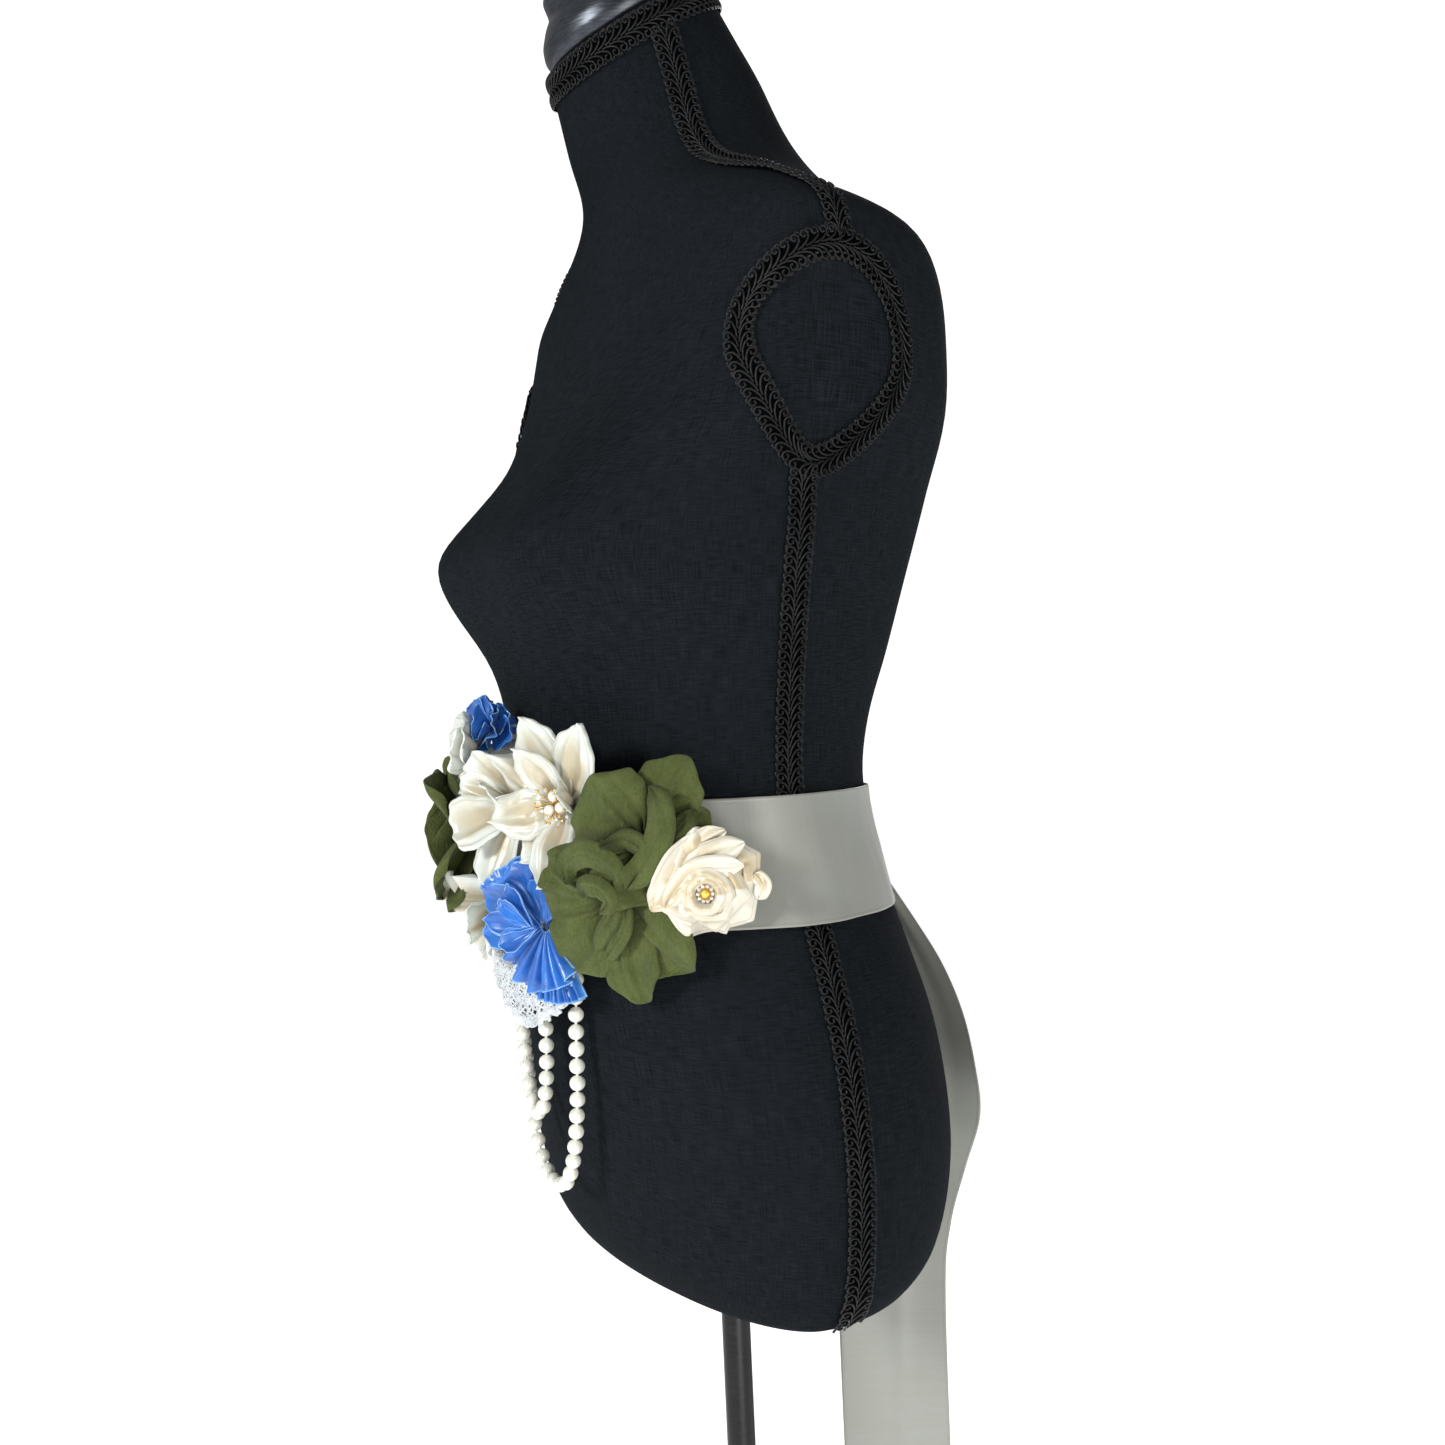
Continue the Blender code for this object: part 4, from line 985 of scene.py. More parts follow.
backingEdge = [
    # azimuth in degrees, bottom, top
    (-22.5, 1.006, 1.058), (-15, 0.980, 1.084), (-7.5, 0.977, 1.099), (0, 0.977, 1.104), (7.5, 0.976, 1.101),
    (15, 0.977, 1.092), (22.5, 0.979, 1.081), (30, 0.981, 1.073), (37.5, 0.982, 1.070), (45, 0.984, 1.068),
    (52.5, 0.987, 1.060), (60, 0.993, 1.046), (67.5, 0.999, 1.030), (72, 1.003, 1.022),
]
lace = {
    # azimuth in degrees, top, bottom
    "edge": [(-15, 0.986, 0.958), (-11.25, 0.986, 0.945), (-7.5, 0.986, 0.940), (0, 0.986, 0.935),
             (3.75, 0.986, 0.937), (7.5, 0.986, 0.939), (15, 0.985, 0.948), (18.75, 0.984, 0.954),
             (22.5, 0.984, 0.962)],
    "first": -15, "span": 37.5, "thread": 0.00062, "columns": 60, "rows": 26, "scallop": 0.0030,
    # share of the way down: how far it stands off the form
    "lift": [(0, 0.0052), (0.20, 0.0105), (0.42, 0.0142), (1.0, 0.0156)],
}


def edgeAt(table, azimuth):
    for low, high in zip(table, table[1:]):
        if azimuth <= high[0]:
            t = max(0.0, (azimuth - low[0]) / (high[0] - low[0]))
            return [a + (b - a) * t for a, b in zip(low, high)]
    return list(table[-1])


felt = {"first": -22.5, "span": 94.5, "around": 120, "down": 16, "inset": 0.003, "lift": 0.0036, "thick": 0.0014}


def makeFelt():
    rows = []
    for i in range(felt["around"] + 1):
        azimuth = felt["first"] + felt["span"] * i / felt["around"]
        low = shareAt([(row[0], row[1]) for row in backingEdge], azimuth) + felt["inset"]
        high = shareAt([(row[0], row[2]) for row in backingEdge], azimuth)
        high = max(high - 0.010 * cos(radians(azimuth) * 1.6), low + 0.004)
        rows.append([skin(radians(azimuth), low + (high - low) * k / felt["down"], felt["lift"])
                     for k in range(felt["down"] + 1)])
    cloth = Cloth()
    cloth.grid(rows, size=(0.10, 0.20))
    made = addObject("feltBacking", cloth.mesh("feltBacking"), "ivory_felt")
    faceTo(made, lambda middle: Vector((middle.x, middle.y + 0.02, 0)))
    thicken(made, felt["thick"], levels=0)
    settle(made, "felt_backing")


def makeLace():
    # Crochet lace: a net of diamonds and eyelets, closing to scallops at its lower edge.
    columns, count = lace["columns"], lace["rows"]
    verts = []
    edges = []
    index = {}
    for i in range(count + 1):
        for j in range(columns + 1):
            azimuth = lace["first"] + lace["span"] * j / columns
            _, top, bottom = edgeAt(lace["edge"], azimuth)
            share = i / count
            scallop = lace["scallop"] * abs(sin(pi * j / 5.5)) * share ** 4
            low = bottom + 0.0028 - scallop
            lift = shareAt(lace["lift"], share)
            wave = 0.0012 * sin(j * 0.9) * share + 0.0006 * sin(j * 2.3 + i)
            jog = 0.18 * sin(i * 1.7 + j * 2.9)
            index[i, j] = len(verts)
            lift += wave + (0.0003 if (i + j) % 2 else 0)
            verts.append(skin(radians(azimuth + jog), top + (low - top) * share, lift))
    for i in range(count):
        for j in range(columns + 1):
            row = i % 5
            if row in (0, 4) or i == count - 1:
                if j < columns:
                    edges.append((index[i, j], index[i, j + 1]))
                    edges.append((index[i, j], index[i + 1, j + 1]))
                edges.append((index[i, j], index[i + 1, j]))
            elif (i + j) % 2 == 0:
                if j < columns:
                    edges.append((index[i, j], index[i + 1, j + 1]))
                if j:
                    edges.append((index[i, j], index[i + 1, j - 1]))
            elif j % 3 == 0:
                edges.append((index[i, j], index[i + 1, j]))
    for j in range(columns):
        edges.append((index[count, j], index[count, j + 1]))
    for i in range(count):
        edges.append((index[i, 0], index[i + 1, 0]))
        edges.append((index[i, columns], index[i + 1, columns]))
    settle(byTree("laceTrim", threadTree, verts, sorted(set(edges)), "white_lace",
                  {"Thread radius": lace["thread"]}, {}), "lace_trim")


pearls = {
    "pitch": 0.0089, "radius": 0.00402, "thread": 0.0007, "threadStep": 0.003, "samples": 400,
    "pearls_outer": [
        (44, -107.5, 977.5), (42.8, -108.8, 940), (39, -108, 905), (31, -107.5, 875), (19.5, -107, 857),
        (5, -107, 852), (-9, -107, 857), (-20, -107.5, 875), (-26, -108, 905), (-28.5, -109.5, 940),
        (-29.6, -110.1, 978.5),
    ],
    "pearls_inner": [
        (15.2, -111.3, 975.4), (14.8, -113.2, 945), (12, -112.8, 915), (5.5, -112.5, 895),
        (-2.5, -112.5, 888.6), (-10.5, -112.5, 895), (-16.5, -112.8, 915), (-18.5, -113.2, 945),
        (-16.8, -111.3, 976.5),
    ],
}


def makePearls(name, node):
    # A strand of round beads on its thread, as one piece.
    fine = spline(metres(pearls[node], 0, 1, 2), pearls["samples"])
    length = sum((b - a).length for a, b in zip(fine, fine[1:]))
    beads = round(length / pearls["pitch"])
    bm = bmesh.new()
    for place, ahead in along(fine, length / beads / 2)[1::2]:
        turn = ahead.to_track_quat("Z", "Y").to_matrix().to_4x4()
        bmesh.ops.create_icosphere(bm, subdivisions=3, radius=pearls["radius"],
                                   matrix=Matrix.Translation(place) @ turn)
    rings = []
    for place, ahead in along(fine, pearls["threadStep"]):
        across = ahead.cross(Vector((0, 1, 0))).normalized()
        over = across.cross(ahead)
        rings.append([bm.verts.new(place + spoke(across, over, k * pi / 3) * pearls["thread"])
                      for k in range(6)])
    for low, high in zip(rings, rings[1:]):
        for k in range(6):
            bm.faces.new((low[k], low[(k + 1) % 6], high[(k + 1) % 6], high[k]))
    bm.faces.new(rings[0][::-1])
    bm.faces.new(rings[-1])
    mesh = bpy.data.meshes.new(name)
    bmesh.ops.recalc_face_normals(bm, faces=bm.faces)
    bm.to_mesh(mesh)
    bm.free()
    made = settle(addObject(name, mesh, "pearl"), node)
    print(name, "length", round(length, 3), "beads", beads)


makeFelt()
makeLace()
makePearls("pearlsOuter", "pearls_outer")
makePearls("pearlsInner", "pearls_inner")
print("felt, lace and pearls: done")


# The flowers

flowerSeat = 0.0050
petalSteps = {"along": 24, "across": 26}
bandSteps = {"along": 26, "across": 14}
pleatSteps = {"pleat": 12, "across": 16, "hub": 0.003}
wrapSteps = 144
stem = {"along": 8, "round": 16, "radius": 0.0050, "taper": 0.0010, "waist": 0.0010}
outlines = {
    # share of the length: share of the width
    "pointed": [(0.0, 0.26), (0.22, 0.74), (0.48, 1.0), (0.70, 0.84), (0.88, 0.40), (1.0, 0.02)],
    "round": [(0.0, 0.28), (0.25, 0.74), (0.58, 1.0), (0.84, 0.94), (1.0, 0.52)],
    "chiffon": [(0.0, 0.26), (0.22, 0.70), (0.55, 1.0), (0.84, 0.96), (1.0, 0.56)],
    "teardrop": [(0.0, 0.06), (0.30, 0.52), (0.64, 1.0), (0.86, 0.84), (1.0, 0.30)],
}
endCurve = {"pointed": 0.0, "round": 0.14, "chiffon": 0.16, "teardrop": 0.12}
flowers = {
    # petals: angle, length, width, lift, curl, cup, wave, height above the heart
    # bands: points (right, up, out) from the heart, then the width and how far it bulges
    "blue_far": {
        # layers: radius, pleats, pleat height, lift, curl, height above the heart, first and last angle
        "place": (-5, 1093.5, 16.5), "facing": (4, 14), "kind": "teardrop", "finish": "blue_satin",
        "thick": 0.7, "hub": 1,
        "layers": [
            (16, 7, 2.4, 24, 0, 0, 0, 360),
        ],
        "petals": [
            (345, 18, 20, -22, 0, 0.5, 0, 2), (28, 15, 20, -12, 0, 0.5, 0, 1), (80, 17, 22, 26, 0, 0.4, 0, 1),
            (150, 17, 22, 34, 0, 0.4, 0, 1), (220, 17, 22, 34, 0, 0.4, 0, 1), (280, 16, 20, 30, 0, 0.4, 0, 1),
            (5, 16, 20, 48, 10, 0.6, 0, 2), (318, 14, 16, 40, 0, 0.6, 0, 2),
        ],
    },
    "ivory_far": {
        "place": (-8, 1081.5, 20), "facing": (-3, 10), "kind": "round", "finish": "ivory_satin", "thick": 1,
        "petals": [
            (95, 18, 26, 40, 0, 0.3, 0, 1), (165, 28, 30, 34, 0, 0.26, 0, 0), (235, 28, 30, 30, 0, 0.26, 0, 0),
            (300, 26, 28, 30, 0, 0.26, 0, -1), (20, 28, 30, 50, 0, 0.4, 0, 0), (345, 26, 26, 66, 0, 0.5, 0, 1),
        ],
    },
    "green_far": {
        "place": (-30, 1036, 18), "facing": (-12, 0), "kind": "chiffon", "finish": "olive_chiffon",
        "thick": 0.7,
        "petals": [
            (132, 38, 36, 26, -8, 0.02, -2, 1), (182, 38, 36, 20, -8, 0.02, 2, 0),
            (232, 38, 36, 24, -8, 0.02, -2, 0), (80, 45, 44, 34, -8, 0.02, 2, 0),
            (284, 45, 44, 34, -8, 0.02, 2, 1), (52, 48, 44, 46, -6, 0.02, 2, 1),
            (308, 48, 44, 46, -6, 0.02, 2, 1), (8, 33, 52, 64, 12, 0.04, 2, 1),
            (340, 26, 34, 52, 20, 0.06, 2, 2),
        ],
    },
    "ivory_low": {
        "place": (-14, 998.5, 15), "facing": (-6, -8), "kind": "round", "finish": "ivory_satin", "thick": 1,
        "petals": [
            (85, 25, 28, 26, 0, 0.26, 0, 0), (158, 27, 30, 28, 0, 0.26, 0, 1), (230, 28, 30, 28, 0, 0.26, 0, 0),
            (300, 29, 30, 28, 0, 0.26, 0, 1), (15, 26, 28, 24, 0, 0.26, 0, -1), (330, 24, 26, 60, 0, 0.5, 0, 2),
        ],
    },
    "ivory_second": {
        "place": (22, 1050, 20), "facing": (8, 2), "kind": "round", "finish": "ivory_satin", "thick": 1,
        "petals": [
            (318, 32, 32, 10, 0, 0.2, 0, -1), (30, 32, 32, 10, 0, 0.2, 0, -1), (258, 43, 36, 22, 0, 0.24, 0, 0),
            (100, 37, 40, 30, 10, 0.22, 0, 0), (150, 34, 26, 36, 0, 0.22, 0, 1),
            (204, 34, 30, 40, 8, 0.75, 0, 2), (60, 26, 24, 56, 6, 0.4, 0, 2),
        ],
    },
    "blue_front": {
        "place": (39.5, 993.8, 16), "facing": (16, -4), "kind": "teardrop", "finish": "blue_satin",
        "thick": 0.7, "hub": 1,
        "layers": [
            (39, 18, 3, 8, -4, -3, 205, 304), (33.5, 14, 3.4, 16, -8, 1, 55, 325),
        ],
        "petals": [
            (98, 36, 36, 12, -4, 0.16, 0, 2), (66, 28, 24, 16, 0, 0.2, 0, 1), (146, 37, 23, 16, 0, 0.5, 0, 4),
            (186, 36, 18, 12, 0, 0.75, 0, 6), (168, 28, 13, 24, 4, 0.9, 0, 7),
            (112, 25, 15.5, 8, 6, 0.95, 0, 9), (132, 21.5, 11, 14, 6, 1, 0, 10),
            (206, 21, 13, 30, 4, 0.85, 0, 6),
        ],
    },
    "ivory_main": {
        "place": (54, 1052, 19), "facing": (24, 6), "kind": "pointed", "finish": "ivory_satin", "thick": 1,
        "heart": 6,
        "petals": [
            (146, 43, 29, 12, 2, 0.34, 0, -2), (230, 36, 26, 8, 2, 0.34, 0, -2),
            (312, 34, 25, 12, 2, 0.36, 0, -1), (114, 48, 33, 16, 4, 0.36, 0, -1),
            (61, 45, 33, 18, 4, 0.36, 0, 0), (193, 40, 29, 18, 4, 0.38, 0, 0), (266, 42, 29, 18, 4, 0.38, 0, 0),
            (116, 36, 22, 34, 6, 0.44, 0, 2), (22, 23, 18, 34, 30, 0.6, 0, 1),
        ],
    },
    "green_lower": {
        "place": (78.5, 1008, 17), "facing": (31, -4), "kind": "chiffon", "finish": "olive_chiffon",
        "thick": 0.7,
        "petals": [
            (184, 37, 38, 16, -10, 0.02, -2, 1), (284, 51, 33, 12, -8, 0.02, -2, 0),
            (231, 43, 41, 14, -8, 0.02, 2, 1), (320, 51, 37, 10, -8, 0.02, 2, -1),
            (140, 36, 32, 24, -8, 0.03, 2, 2),
        ],
        "bands": [
            [(-16.5, 8.5, 13), (-14.5, 19, 15), (-2, 24, 17), (9.5, 18.5, 16), (12.5, 9, 12), 12, 4],
            [(-9, 2, 12), (-5, 8.5, 17), (4, 7.5, 18), (6.5, 0, 14), (0, -5, 12), 9.5, 3.4],
            [(7, 4, 10), (6, -6, 11), (-1.5, -15, 10), (-8.5, -24, 7), 8.5, 3],
            [(12, 0, 8), (11, -12, 10), (4, -21.5, 9), (-3.5, -29, 5), 8, 2.6],
        ],
    },
    "green_upper": {
        "place": (86.5, 1033, 18), "facing": (40, 4), "kind": "chiffon", "finish": "olive_chiffon",
        "thick": 0.7,
        "petals": [
            (20, 33, 30, 10, -12, 0.02, -2, -1), (62, 44, 36, 8, -8, 0.02, 2, -2),
            (300, 32, 30, 8, -8, 0.02, 2, -1), (250, 31, 32, 12, -8, 0.02, 2, 0),
            (204, 22, 24, 14, -8, 0.02, 2, 1), (129, 38, 43, 24, -14, 0.02, 2, 3),
        ],
        "bands": [
            [(7.5, 26.5, 8), (13.5, 17, 11), (14, 4, 13), (6.5, -10, 12), (-3.5, -21.5, 9), 13, 4],
            [(29, 15, 4), (19, 3, 7), (12, -9, 7), (4, -20, 6), 11, 3.2],
            [(-12, -2, 9), (-4, 2, 12), (5, -3, 12), (8, -14, 10), 9, 3],
        ],
    },
    "rose": {
        # wraps: middle right and up, radius, corners, first corner, sharpness, height, flap, drop
        "place": (108.5, 1008.5, 15), "facing": (52, 0), "kind": "round", "finish": "cream_satin", "thick": 0.7,
        "heart": 6, "hub": 3,
        "wraps": [
            (1, 4.5, 17, 5, 100, 1.2, 1.2, 8, 5), (-1, 3, 15.5, 4, 200, 1.3, 3.5, 7, 4.8),
            (0.5, 1.5, 13.5, 5, 62, 1.2, 5.8, 5.2, 4.2), (0.2, 0.5, 11.2, 4, 35, 0.7, 7.6, 4.4, 3),
            (0, 0, 9, 5, 80, 0.35, 9, 4, 2.2), (0, -0.5, 6.4, 5, 10, 0.15, 10.2, 3.4, 1.8),
        ],
        "bands": [
            [(-26.2, -7.5, 2), (-16, 6, 4), (-6, 19, 4), (10, 29, 1), 15, 1],
            [(-24, -6.5, 4), (-12.5, 6, 6), (0, 16.5, 6), (19, 23, 3), 13, 1],
            [(-19.5, -6, 6), (-11.5, 4, 8), (0, 11.8, 8), (18.5, 12.5, 5), 11, 1],
            [(22.5, 8, -1), (26.5, 3, 1), (24, -4, 0), 7, 2],
        ],
    },
}


def flowerFrame(spec):
    # A flower's heart, with its right, up and outward directions.
    x, height, standOff = (value / 1000 for value in spec["place"])
    azimuth = asin(x / ringAt(height)[1])
    seat = skin(azimuth, height, flowerSeat)
    around = skin(azimuth + 0.03, height, 0) - skin(azimuth - 0.03, height, 0)
    normal = around.cross(skin(azimuth, height + 0.004, 0) - skin(azimuth, height - 0.004, 0)).normalized()
    yaw, pitch = (radians(angle) for angle in spec["facing"])
    out = Vector((sin(yaw) * cos(pitch), -cos(yaw) * cos(pitch), sin(pitch)))
    right = Vector((0, 0, 1)).cross(out).normalized()
    return seat + normal * (standOff - flowerSeat), right, out.cross(right), out, seat, normal


def petalRows(place, petal, kind, hub, seed):
    # One petal as a grid: it lifts from the heart, curls, cups and waves, with folds from its root.
    centre, right, up, out = place[:4]
    angle, length, width, lift, curl, cup, wave, root = petal
    turn = radians(angle)
    ahead = spoke(right, up, turn)
    side = up * cos(turn) - right * sin(turn)
    rows = []
    for i in range(petalSteps["along"] + 1):
        s = i / petalSteps["along"]
        wide = shareAt(outlines[kind], s)
        body = sin(pi * min(1.0, s * 0.9 + 0.08))
        row = []
        for j in range(petalSteps["across"] + 1):
            v = j / petalSteps["across"] * 2 - 1
            t = abs(v)
            reach = length * s * (1 - endCurve[kind] * v * v * s)
            slope = radians(lift + curl * s)
            half = width / 2 * wide
            over = v
            high = cup * half * min(t, 0.86) ** 2 * (1 - 0.3 * s) + wave * s * sin(3.4 * v + angle)
            if kind == "pointed":
                # The edge rolls over, folds run inside it, and the tip is pinched.
                if t > 0.84:
                    over = copysign(0.84 + (t - 0.84) * 0.45, v)
                    high -= 0.0028 * ((t - 0.84) / 0.16) ** 1.5
                high += 0.0019 * bell(t - 0.52 + 0.2 * s, 0.10) * body
                high -= 0.0028 * bell(v, 0.18) * body * (1 - 0.7 * s)
                high += 0.0012 * sin(5 * v + 7 * s + seed) * s * (1 - s) * 2
                high += 0.0028 * past(s, 0.76) ** 2 * bell(v, 0.40)
                high += 0.0008 * cos(10 * v + seed) * (1 - s) ** 2
            elif kind == "teardrop":
                # A drawn-up cup whose rim stands.
                high += 0.0012 * past(s, 0.7) ** 2
                high += 0.0005 * cos(8 * v + seed) * (1 - s)
            elif kind == "chiffon":
                # Puffed between creases that run from the heart, with an edge that turns back.
                fold = 0.34 * sin(seed * 1.9)
                high += 0.16 * half * (1 - v * v) * body
                for crease, depth in ((fold, 0.0034), (fold + 0.42, 0.0022), (fold - 0.46, 0.0022)):
                    high -= depth * bell(v - crease * (1 - 0.3 * s), 0.075) * (1 - s) ** 0.7
                high += 0.0024 * bell(v - fold - 0.17, 0.10) * (1 - s) ** 0.5
                high -= 0.0030 * past(s, 0.82) ** 2 * (0.7 + 0.3 * sin(4 * v + seed))
                high -= 0.0020 * past(t, 0.80) ** 2 * body
                high += 0.0008 * sin(6 * v + 4 * s + seed) * s
            else:
                # Gathers at the root, one long soft fold, and an edge that turns back.
                fold = 0.35 * sin(seed) + 0.25 * s
                high += 0.0030 * bell(v - fold, 0.13) * body
                high -= 0.0022 * bell(v - fold + 0.30, 0.14) * body
                high += 0.0012 * cos(9 * v + seed) * (1 - s) ** 1.6
                high -= 0.0026 * past(s, 0.84) ** 2 * (0.6 + 0.4 * sin(5 * v + seed))
                if t > 0.86:
                    high -= 0.0014 * ((t - 0.86) / 0.14) ** 1.5
            rough = noise.noise(Vector((v * 1.6 + seed * 3.1, s * 2.4, seed))) * 0.0012 * (0.35 + 0.65 * s)
            row.append(centre + ahead * (hub + reach * cos(slope)) + side * (half * over)
                       + out * (root + reach * sin(slope) + high + rough))
        rows.append(row)
    return rows


def pleatRows(place, layer, seed):
    # A gathered disc, or part of one: crisp pleats from the heart, and an edge that ruffles.
    centre, right, up, out = place[:4]
    radius, pleats, pleatHeight, lift, curl, root, first, last = layer
    count = pleats * pleatSteps["pleat"]
    rows = []
    for i in range(count + (0 if last - first == 360 else 1)):
        turn = radians(first + (last - first) * i / count)
        swing = sin(2 * pi * pleats * i / count + 0.6 * sin(turn * 3 + seed))
        ahead = spoke(right, up, turn)
        row = []
        for k in range(pleatSteps["across"] + 1):
            share = k / pleatSteps["across"]
            uneven = 1 + 0.06 * sin(3 * turn + pleats) + 0.03 * sin(7 * turn + seed) * share
            reach = pleatSteps["hub"] + (radius - pleatSteps["hub"]) * share * uneven
            slope = radians(lift + curl * share)
            fold = pleatHeight * (share ** 0.8) * copysign(abs(swing) ** 0.7, swing)
            ruffle = 0.0012 * share ** 3 * sin(pleats * 2.5 * turn + seed)
            row.append(centre + ahead * (reach * cos(slope))
                       + out * (root + reach * sin(slope) + fold + ruffle))
        rows.append(row)
    return rows


def bandRows(place, band, seed):
    # A folded band of cloth that bends from place to place over the heart.
    centre, right, up, out = place[:4]
    width, bulge = (value / 1000 for value in band[-2:])
    middle = spline(metres(band[:-2], 0, 1, 2), bandSteps["along"])
    rows = []
    for i, point in enumerate(middle):
        s = i / bandSteps["along"]
        ahead = middle[min(i + 1, bandSteps["along"])] - middle[max(i - 1, 0)]
        side = Vector((ahead.y, -ahead.x, 0)).normalized()
        half = width * 0.58 * (0.42 + 0.58 * sin(pi * (0.10 + 0.80 * s)))
        half *= min(1.0, 0.12 + 7 * s, 0.12 + 7 * (1 - s))
        row = []
        for j in range(bandSteps["across"] + 1):
            v = j / bandSteps["across"] * 2 - 1
            high = bulge * (0.75 - 0.35 * v) * (1 - v * v) ** 0.6 + 0.0005 * sin(6 * v + seed + 3 * s)
            high -= 0.0014 * bell(v + 0.15 - 0.3 * s, 0.09)
            spot = point + side * half * v
            row.append(centre + right * spot.x + up * spot.y + out * (spot.z + high))
        rows.append(row)
    return rows


def wrapRows(place, wrap, seed):
    # One turn of the rolled ribbon: it stands round the heart, and its top folds out to corners.
    centre, right, up, out = place[:4]
    overX, overY, radius, corners, first, sharp, height, flap, drop = wrap
    # Out and up in metres and how far it takes the corners, then the flap in shares of its size.
    section = [
        (-0.0030, -0.0070, 0), (-0.0016, -0.0035, 0), (-0.0006, -0.0008, 0), (0, 0, 0), (0.0006, -0.0002, 0.1),
        *((far * flap, low * drop, corner)
          for far, low, corner in ((0.30, -0.22, 0.35), (0.62, -0.52, 0.7), (1.0, -1.0, 1.0))),
    ]
    rows = []
    for i in range(wrapSteps):
        turn = 2 * pi * i / wrapSteps
        beat = (turn - radians(first)) % (2 * pi / corners) - pi / corners
        facet = cos(pi / corners) / cos(beat) * 1.14
        crimp = 0.0002 * sin(turn * 9 + seed) + 0.0009 * sin(turn + seed * 2)
        crimp -= 0.0007 * sharp * bell(abs(beat) - pi / corners, 0.09)
        ahead = spoke(right, up, turn)
        row = []
        for far, low, corner in section:
            ring = radius * (1 + (facet - 1) * sharp * (0.45 + 0.55 * corner))
            row.append(centre + right * overX + up * overY + ahead * (ring + far)
                       + out * (height + low + crimp))
        rows.append(row)
    return rows


def stemRows(place, heart):
    centre, _, _, out, seat, normal = place
    rows = []
    for k in range(stem["along"] + 1):
        t = k / stem["along"]
        middle = seat.lerp(centre + out * heart, t)
        axis = normal.lerp(out, t).normalized()
        across = Vector((0, 0, 1)).cross(axis).normalized()
        over = axis.cross(across)
        radius = stem["radius"] - stem["taper"] * t - stem["waist"] * sin(pi * t)
        rows.append([middle + spoke(across, over, 2 * pi * i / stem["round"]) * radius
                     * (1 + 0.06 * sin(i * 2.5)) for i in range(stem["round"])])
    return rows


below = {"verts": [], "faces": [], "clear": 0.0013, "most": 0.013, "above": 0.032}


def rideOver(rows, out, tree, joined=False):
    # Lifts a petal over the flowers that lie under it, and eases the lift round about.
    if tree is None:
        return rows
    needs = []
    for i, row in enumerate(rows):
        easing = 1.0 if joined else min(1.0, i / len(rows) * 4)
        line = []
        for point in row:
            hit = tree.ray_cast(point + out * below["above"], -out, below["above"] + below["clear"])
            need = below["clear"] + below["above"] - hit[3] if hit[0] else 0.0
            line.append(min(below["most"], need) * easing)
        needs.append(line)
    lifts = needs
    for _ in range(12):
        eased = []
        for i, line in enumerate(lifts):
            before = lifts[i - 1] if i else line
            after = lifts[min(i + 1, len(lifts) - 1)]
            eased.append([max(needs[i][j], 0.25 * (before[j] + after[j] + line[max(j - 1, 0)]
                                                   + line[min(j + 1, len(line) - 1)])) for j in range(len(line))])
        lifts = eased
    return [[point + out * lift for point, lift in zip(row, line)] for row, line in zip(rows, lifts)]


def makeFlower(node):
    spec = {"heart": 0, "hub": 2, "layers": [], "wraps": [], "petals": [], "bands": [], **flowers[node]}
    place = flowerFrame(spec)
    out = place[3]
    tree = BVHTree.FromPolygons(below["verts"], below["faces"]) if below["faces"] else None
    cloth = Cloth()
    for k, layer in enumerate(metres(spec["layers"], 0, 2, 5)):
        whole = layer[7] - layer[6] == 360
        cloth.grid(rideOver(pleatRows(place, layer, 2.0 + k), out, tree, True), joinRows=whole)
    for k, wrap in enumerate(metres(spec["wraps"], 0, 1, 2, 6, 7, 8)):
        cloth.grid(rideOver(wrapRows(place, wrap, 1.0 + k * 1.3), out, tree, True), joinRows=True)
    for k, petal in enumerate(metres(spec["petals"], 1, 2, 6, 7)):
        rows = petalRows(place, petal, spec["kind"], spec["hub"] / 1000, k * 1.7 + len(node))
        cloth.grid(rideOver(rows, out, tree))
    for k, band in enumerate(spec["bands"]):
        cloth.grid(rideOver(bandRows(place, band, k * 2.1), out, tree, True))
    first = len(below["verts"])
    below["verts"] += [Vector(v) for v in cloth.verts]
    below["faces"] += [tuple(first + k for k in face) for face in cloth.faces]
    start, end = node.split("_")[0], node.split("_")[1:]
    name = start + "".join(end).title() + "Flower"
    made = addObject(name, cloth.mesh(name), spec["finish"])
    thicken(made, spec["thick"] / 1000)
    settle(made, node)
    foot = Cloth()
    rows = stemRows(place, spec["heart"] / 1000)
    foot.grid(rows, joinColumns=True)
    foot.fan(rows[0], True)
    foot.fan(rows[-1])
    settle(addObject(name + "Stem", foot.mesh(name + "Stem", merge=0.00002), spec["finish"]))
    return place


places = {node: makeFlower(node) for node in flowers}
print("flowers: done")


# Buttons: the rose's jewel and the stamens

jewel = {
    "seat": 0.0004, "plate": (0.0042, 0.0040, 0.0009), "beads": 20, "bead": 0.0003, "beadRing": 0.0024,
    "stone": 0.00195, "crystals": 10, "crystal": 0.00095, "crystalRing": 0.0036,
}
stamens = {
    "seat": 0.0003, "pearl": 0.0028, "spread": 0.0042, "wires": 26, "wire": 0.00028, "bead": 0.0010,
    "ring": 12, "ringRadius": 0.0034, "ringBead": 0.0009,
}


def heartOf(node, seat):
    # A flower's middle, with its directions and the turn that faces out.
    centre, right, up, out = places[node][:4]
    turn = out.to_track_quat("Z", "Y").to_matrix().to_4x4()
    return centre + out * (flowers[node].get("heart", 0) / 1000 + seat), right, up, out, turn


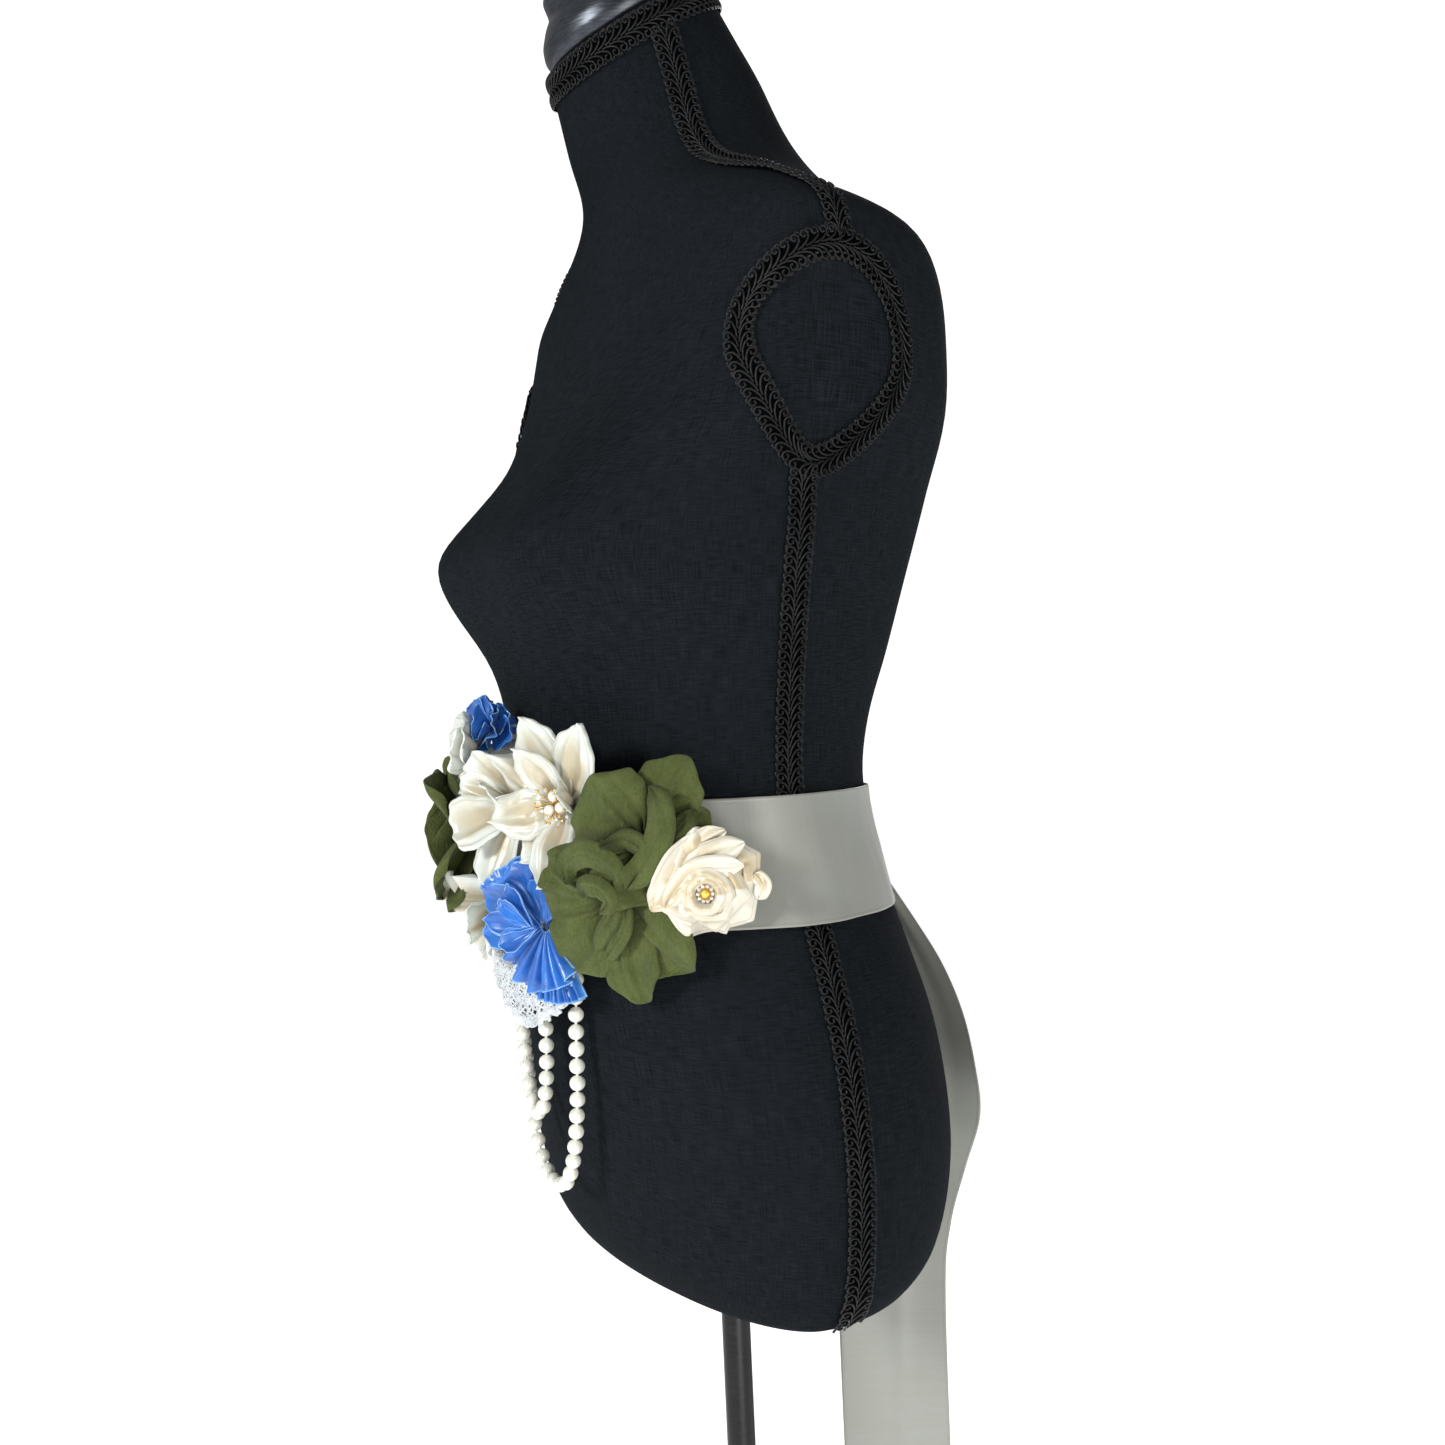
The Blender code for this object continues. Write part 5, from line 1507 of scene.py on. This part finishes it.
def balls(name, spots, turn, finish, slot=None, facets=False, bm=None):
    # spots: middle, radius, subdivisions and squash
    bm = bm or bmesh.new()
    for middle, radius, levels, squash in spots:
        size = Matrix.Diagonal((1, 1, squash, 1))
        bmesh.ops.create_icosphere(bm, subdivisions=levels, radius=radius,
                                   matrix=Matrix.Translation(middle) @ turn @ size)
    mesh = bpy.data.meshes.new(name)
    bm.to_mesh(mesh)
    bm.free()
    made = addObject(name, mesh, finish, slot)
    if facets:
        mesh.shade_flat()
    return made


def makeJewel():
    base, right, up, out, turn = heartOf("rose", jewel["seat"])

    def ring(count, high, radius, ball, squash):
        return [(base + out * high + spoke(right, up, 2 * pi * k / count) * radius, ball, 1, squash)
                for k in range(count)]

    bm = bmesh.new()
    foot, top, depth = jewel["plate"]
    bmesh.ops.create_cone(bm, cap_ends=True, segments=32, radius1=foot, radius2=top, depth=depth,
                          matrix=Matrix.Translation(base + out * 0.0005) @ turn)
    setting = balls("jewelSetting", ring(jewel["beads"], 0.0012, jewel["beadRing"], jewel["bead"], 1),
                    turn, "gold", bm=bm)
    setting.data.set_sharp_from_angle(angle=radians(40))
    settle(setting, "rose_jewel")
    settle(balls("jewelStone", [(base + out * 0.0016, jewel["stone"], 2, 0.7)], turn, "amberStone", "gold", True))
    settle(balls("jewelCrystals", ring(jewel["crystals"], 0.0014, jewel["crystalRing"], jewel["crystal"], 0.8),
                 turn, "crystal", "gold", True))


def makeStamens():
    base, right, up, out, turn = heartOf("ivory_main", stamens["seat"])
    draw = random.Random(11)
    spots = [(base + out * 0.0036 + spoke(right, up, 2 * pi * k / 3 + 1.75) * stamens["spread"],
              stamens["pearl"], 3, 1) for k in range(3)]
    settle(balls("stamenPearls", spots, turn, "pearl"), "stamens")
    verts, edges, gold, clear = [], [], [], []
    for k in range(stamens["wires"]):
        angle = 2 * pi * k / stamens["wires"] + draw.uniform(-0.1, 0.1)
        reach = draw.uniform(0.0055, 0.0100)
        rise = draw.uniform(0.0035, 0.0062)
        ahead = spoke(right, up, angle)
        first = len(verts)
        for t in (0, 0.35, 0.7, 1.0):
            verts.append(base + ahead * (0.001 + reach * t) + out * (0.0004 + rise * (1 - (1 - t) ** 2)))
        edges += [(first + i, first + i + 1) for i in range(3)]
        if k % 3 == 0:
            clear.append((verts[-1], stamens["bead"] * 1.1, 1, 1))
        else:
            gold.append((verts[-1], stamens["bead"] * draw.uniform(0.7, 1.0), 2, 1))
    for k in range(stamens["ring"]):
        ahead = spoke(right, up, 2 * pi * k / stamens["ring"] + 0.2)
        gold.append((base + out * 0.0012 + ahead * stamens["ringRadius"], stamens["ringBead"], 1, 1))
    settle(byTree("stamenWires", threadTree, verts, edges, "gold", {"Thread radius": stamens["wire"]}, {}))
    settle(balls("stamenGold", gold, turn, "gold"))
    settle(balls("stamenCrystals", clear, turn, "crystal", "gold", True))


makeJewel()
makeStamens()
print("buttons: done")


# The floor

def makeFloor():
    floor = Finish("paleFloor", 0.85, {
        "Specular IOR Level": 0.1, "Emission Strength": 0.74, "Emission Color": (1, 1, 1, 1)})
    floor.colour(floor.mix(floor.grain(3.0), (0.93, 0.93, 0.93), (0.96, 0.96, 0.96)))
    cloth = Cloth()
    cloth.grid([[Vector((x, y, -0.0005)) for x in (-14, 14)] for y in (14, -14)])
    made = linked("floor", cloth.mesh("floor"))
    made.data.materials.append(floor.material)
    faceTo(made, lambda middle: Vector((0, 0, 1)))


makeFloor()
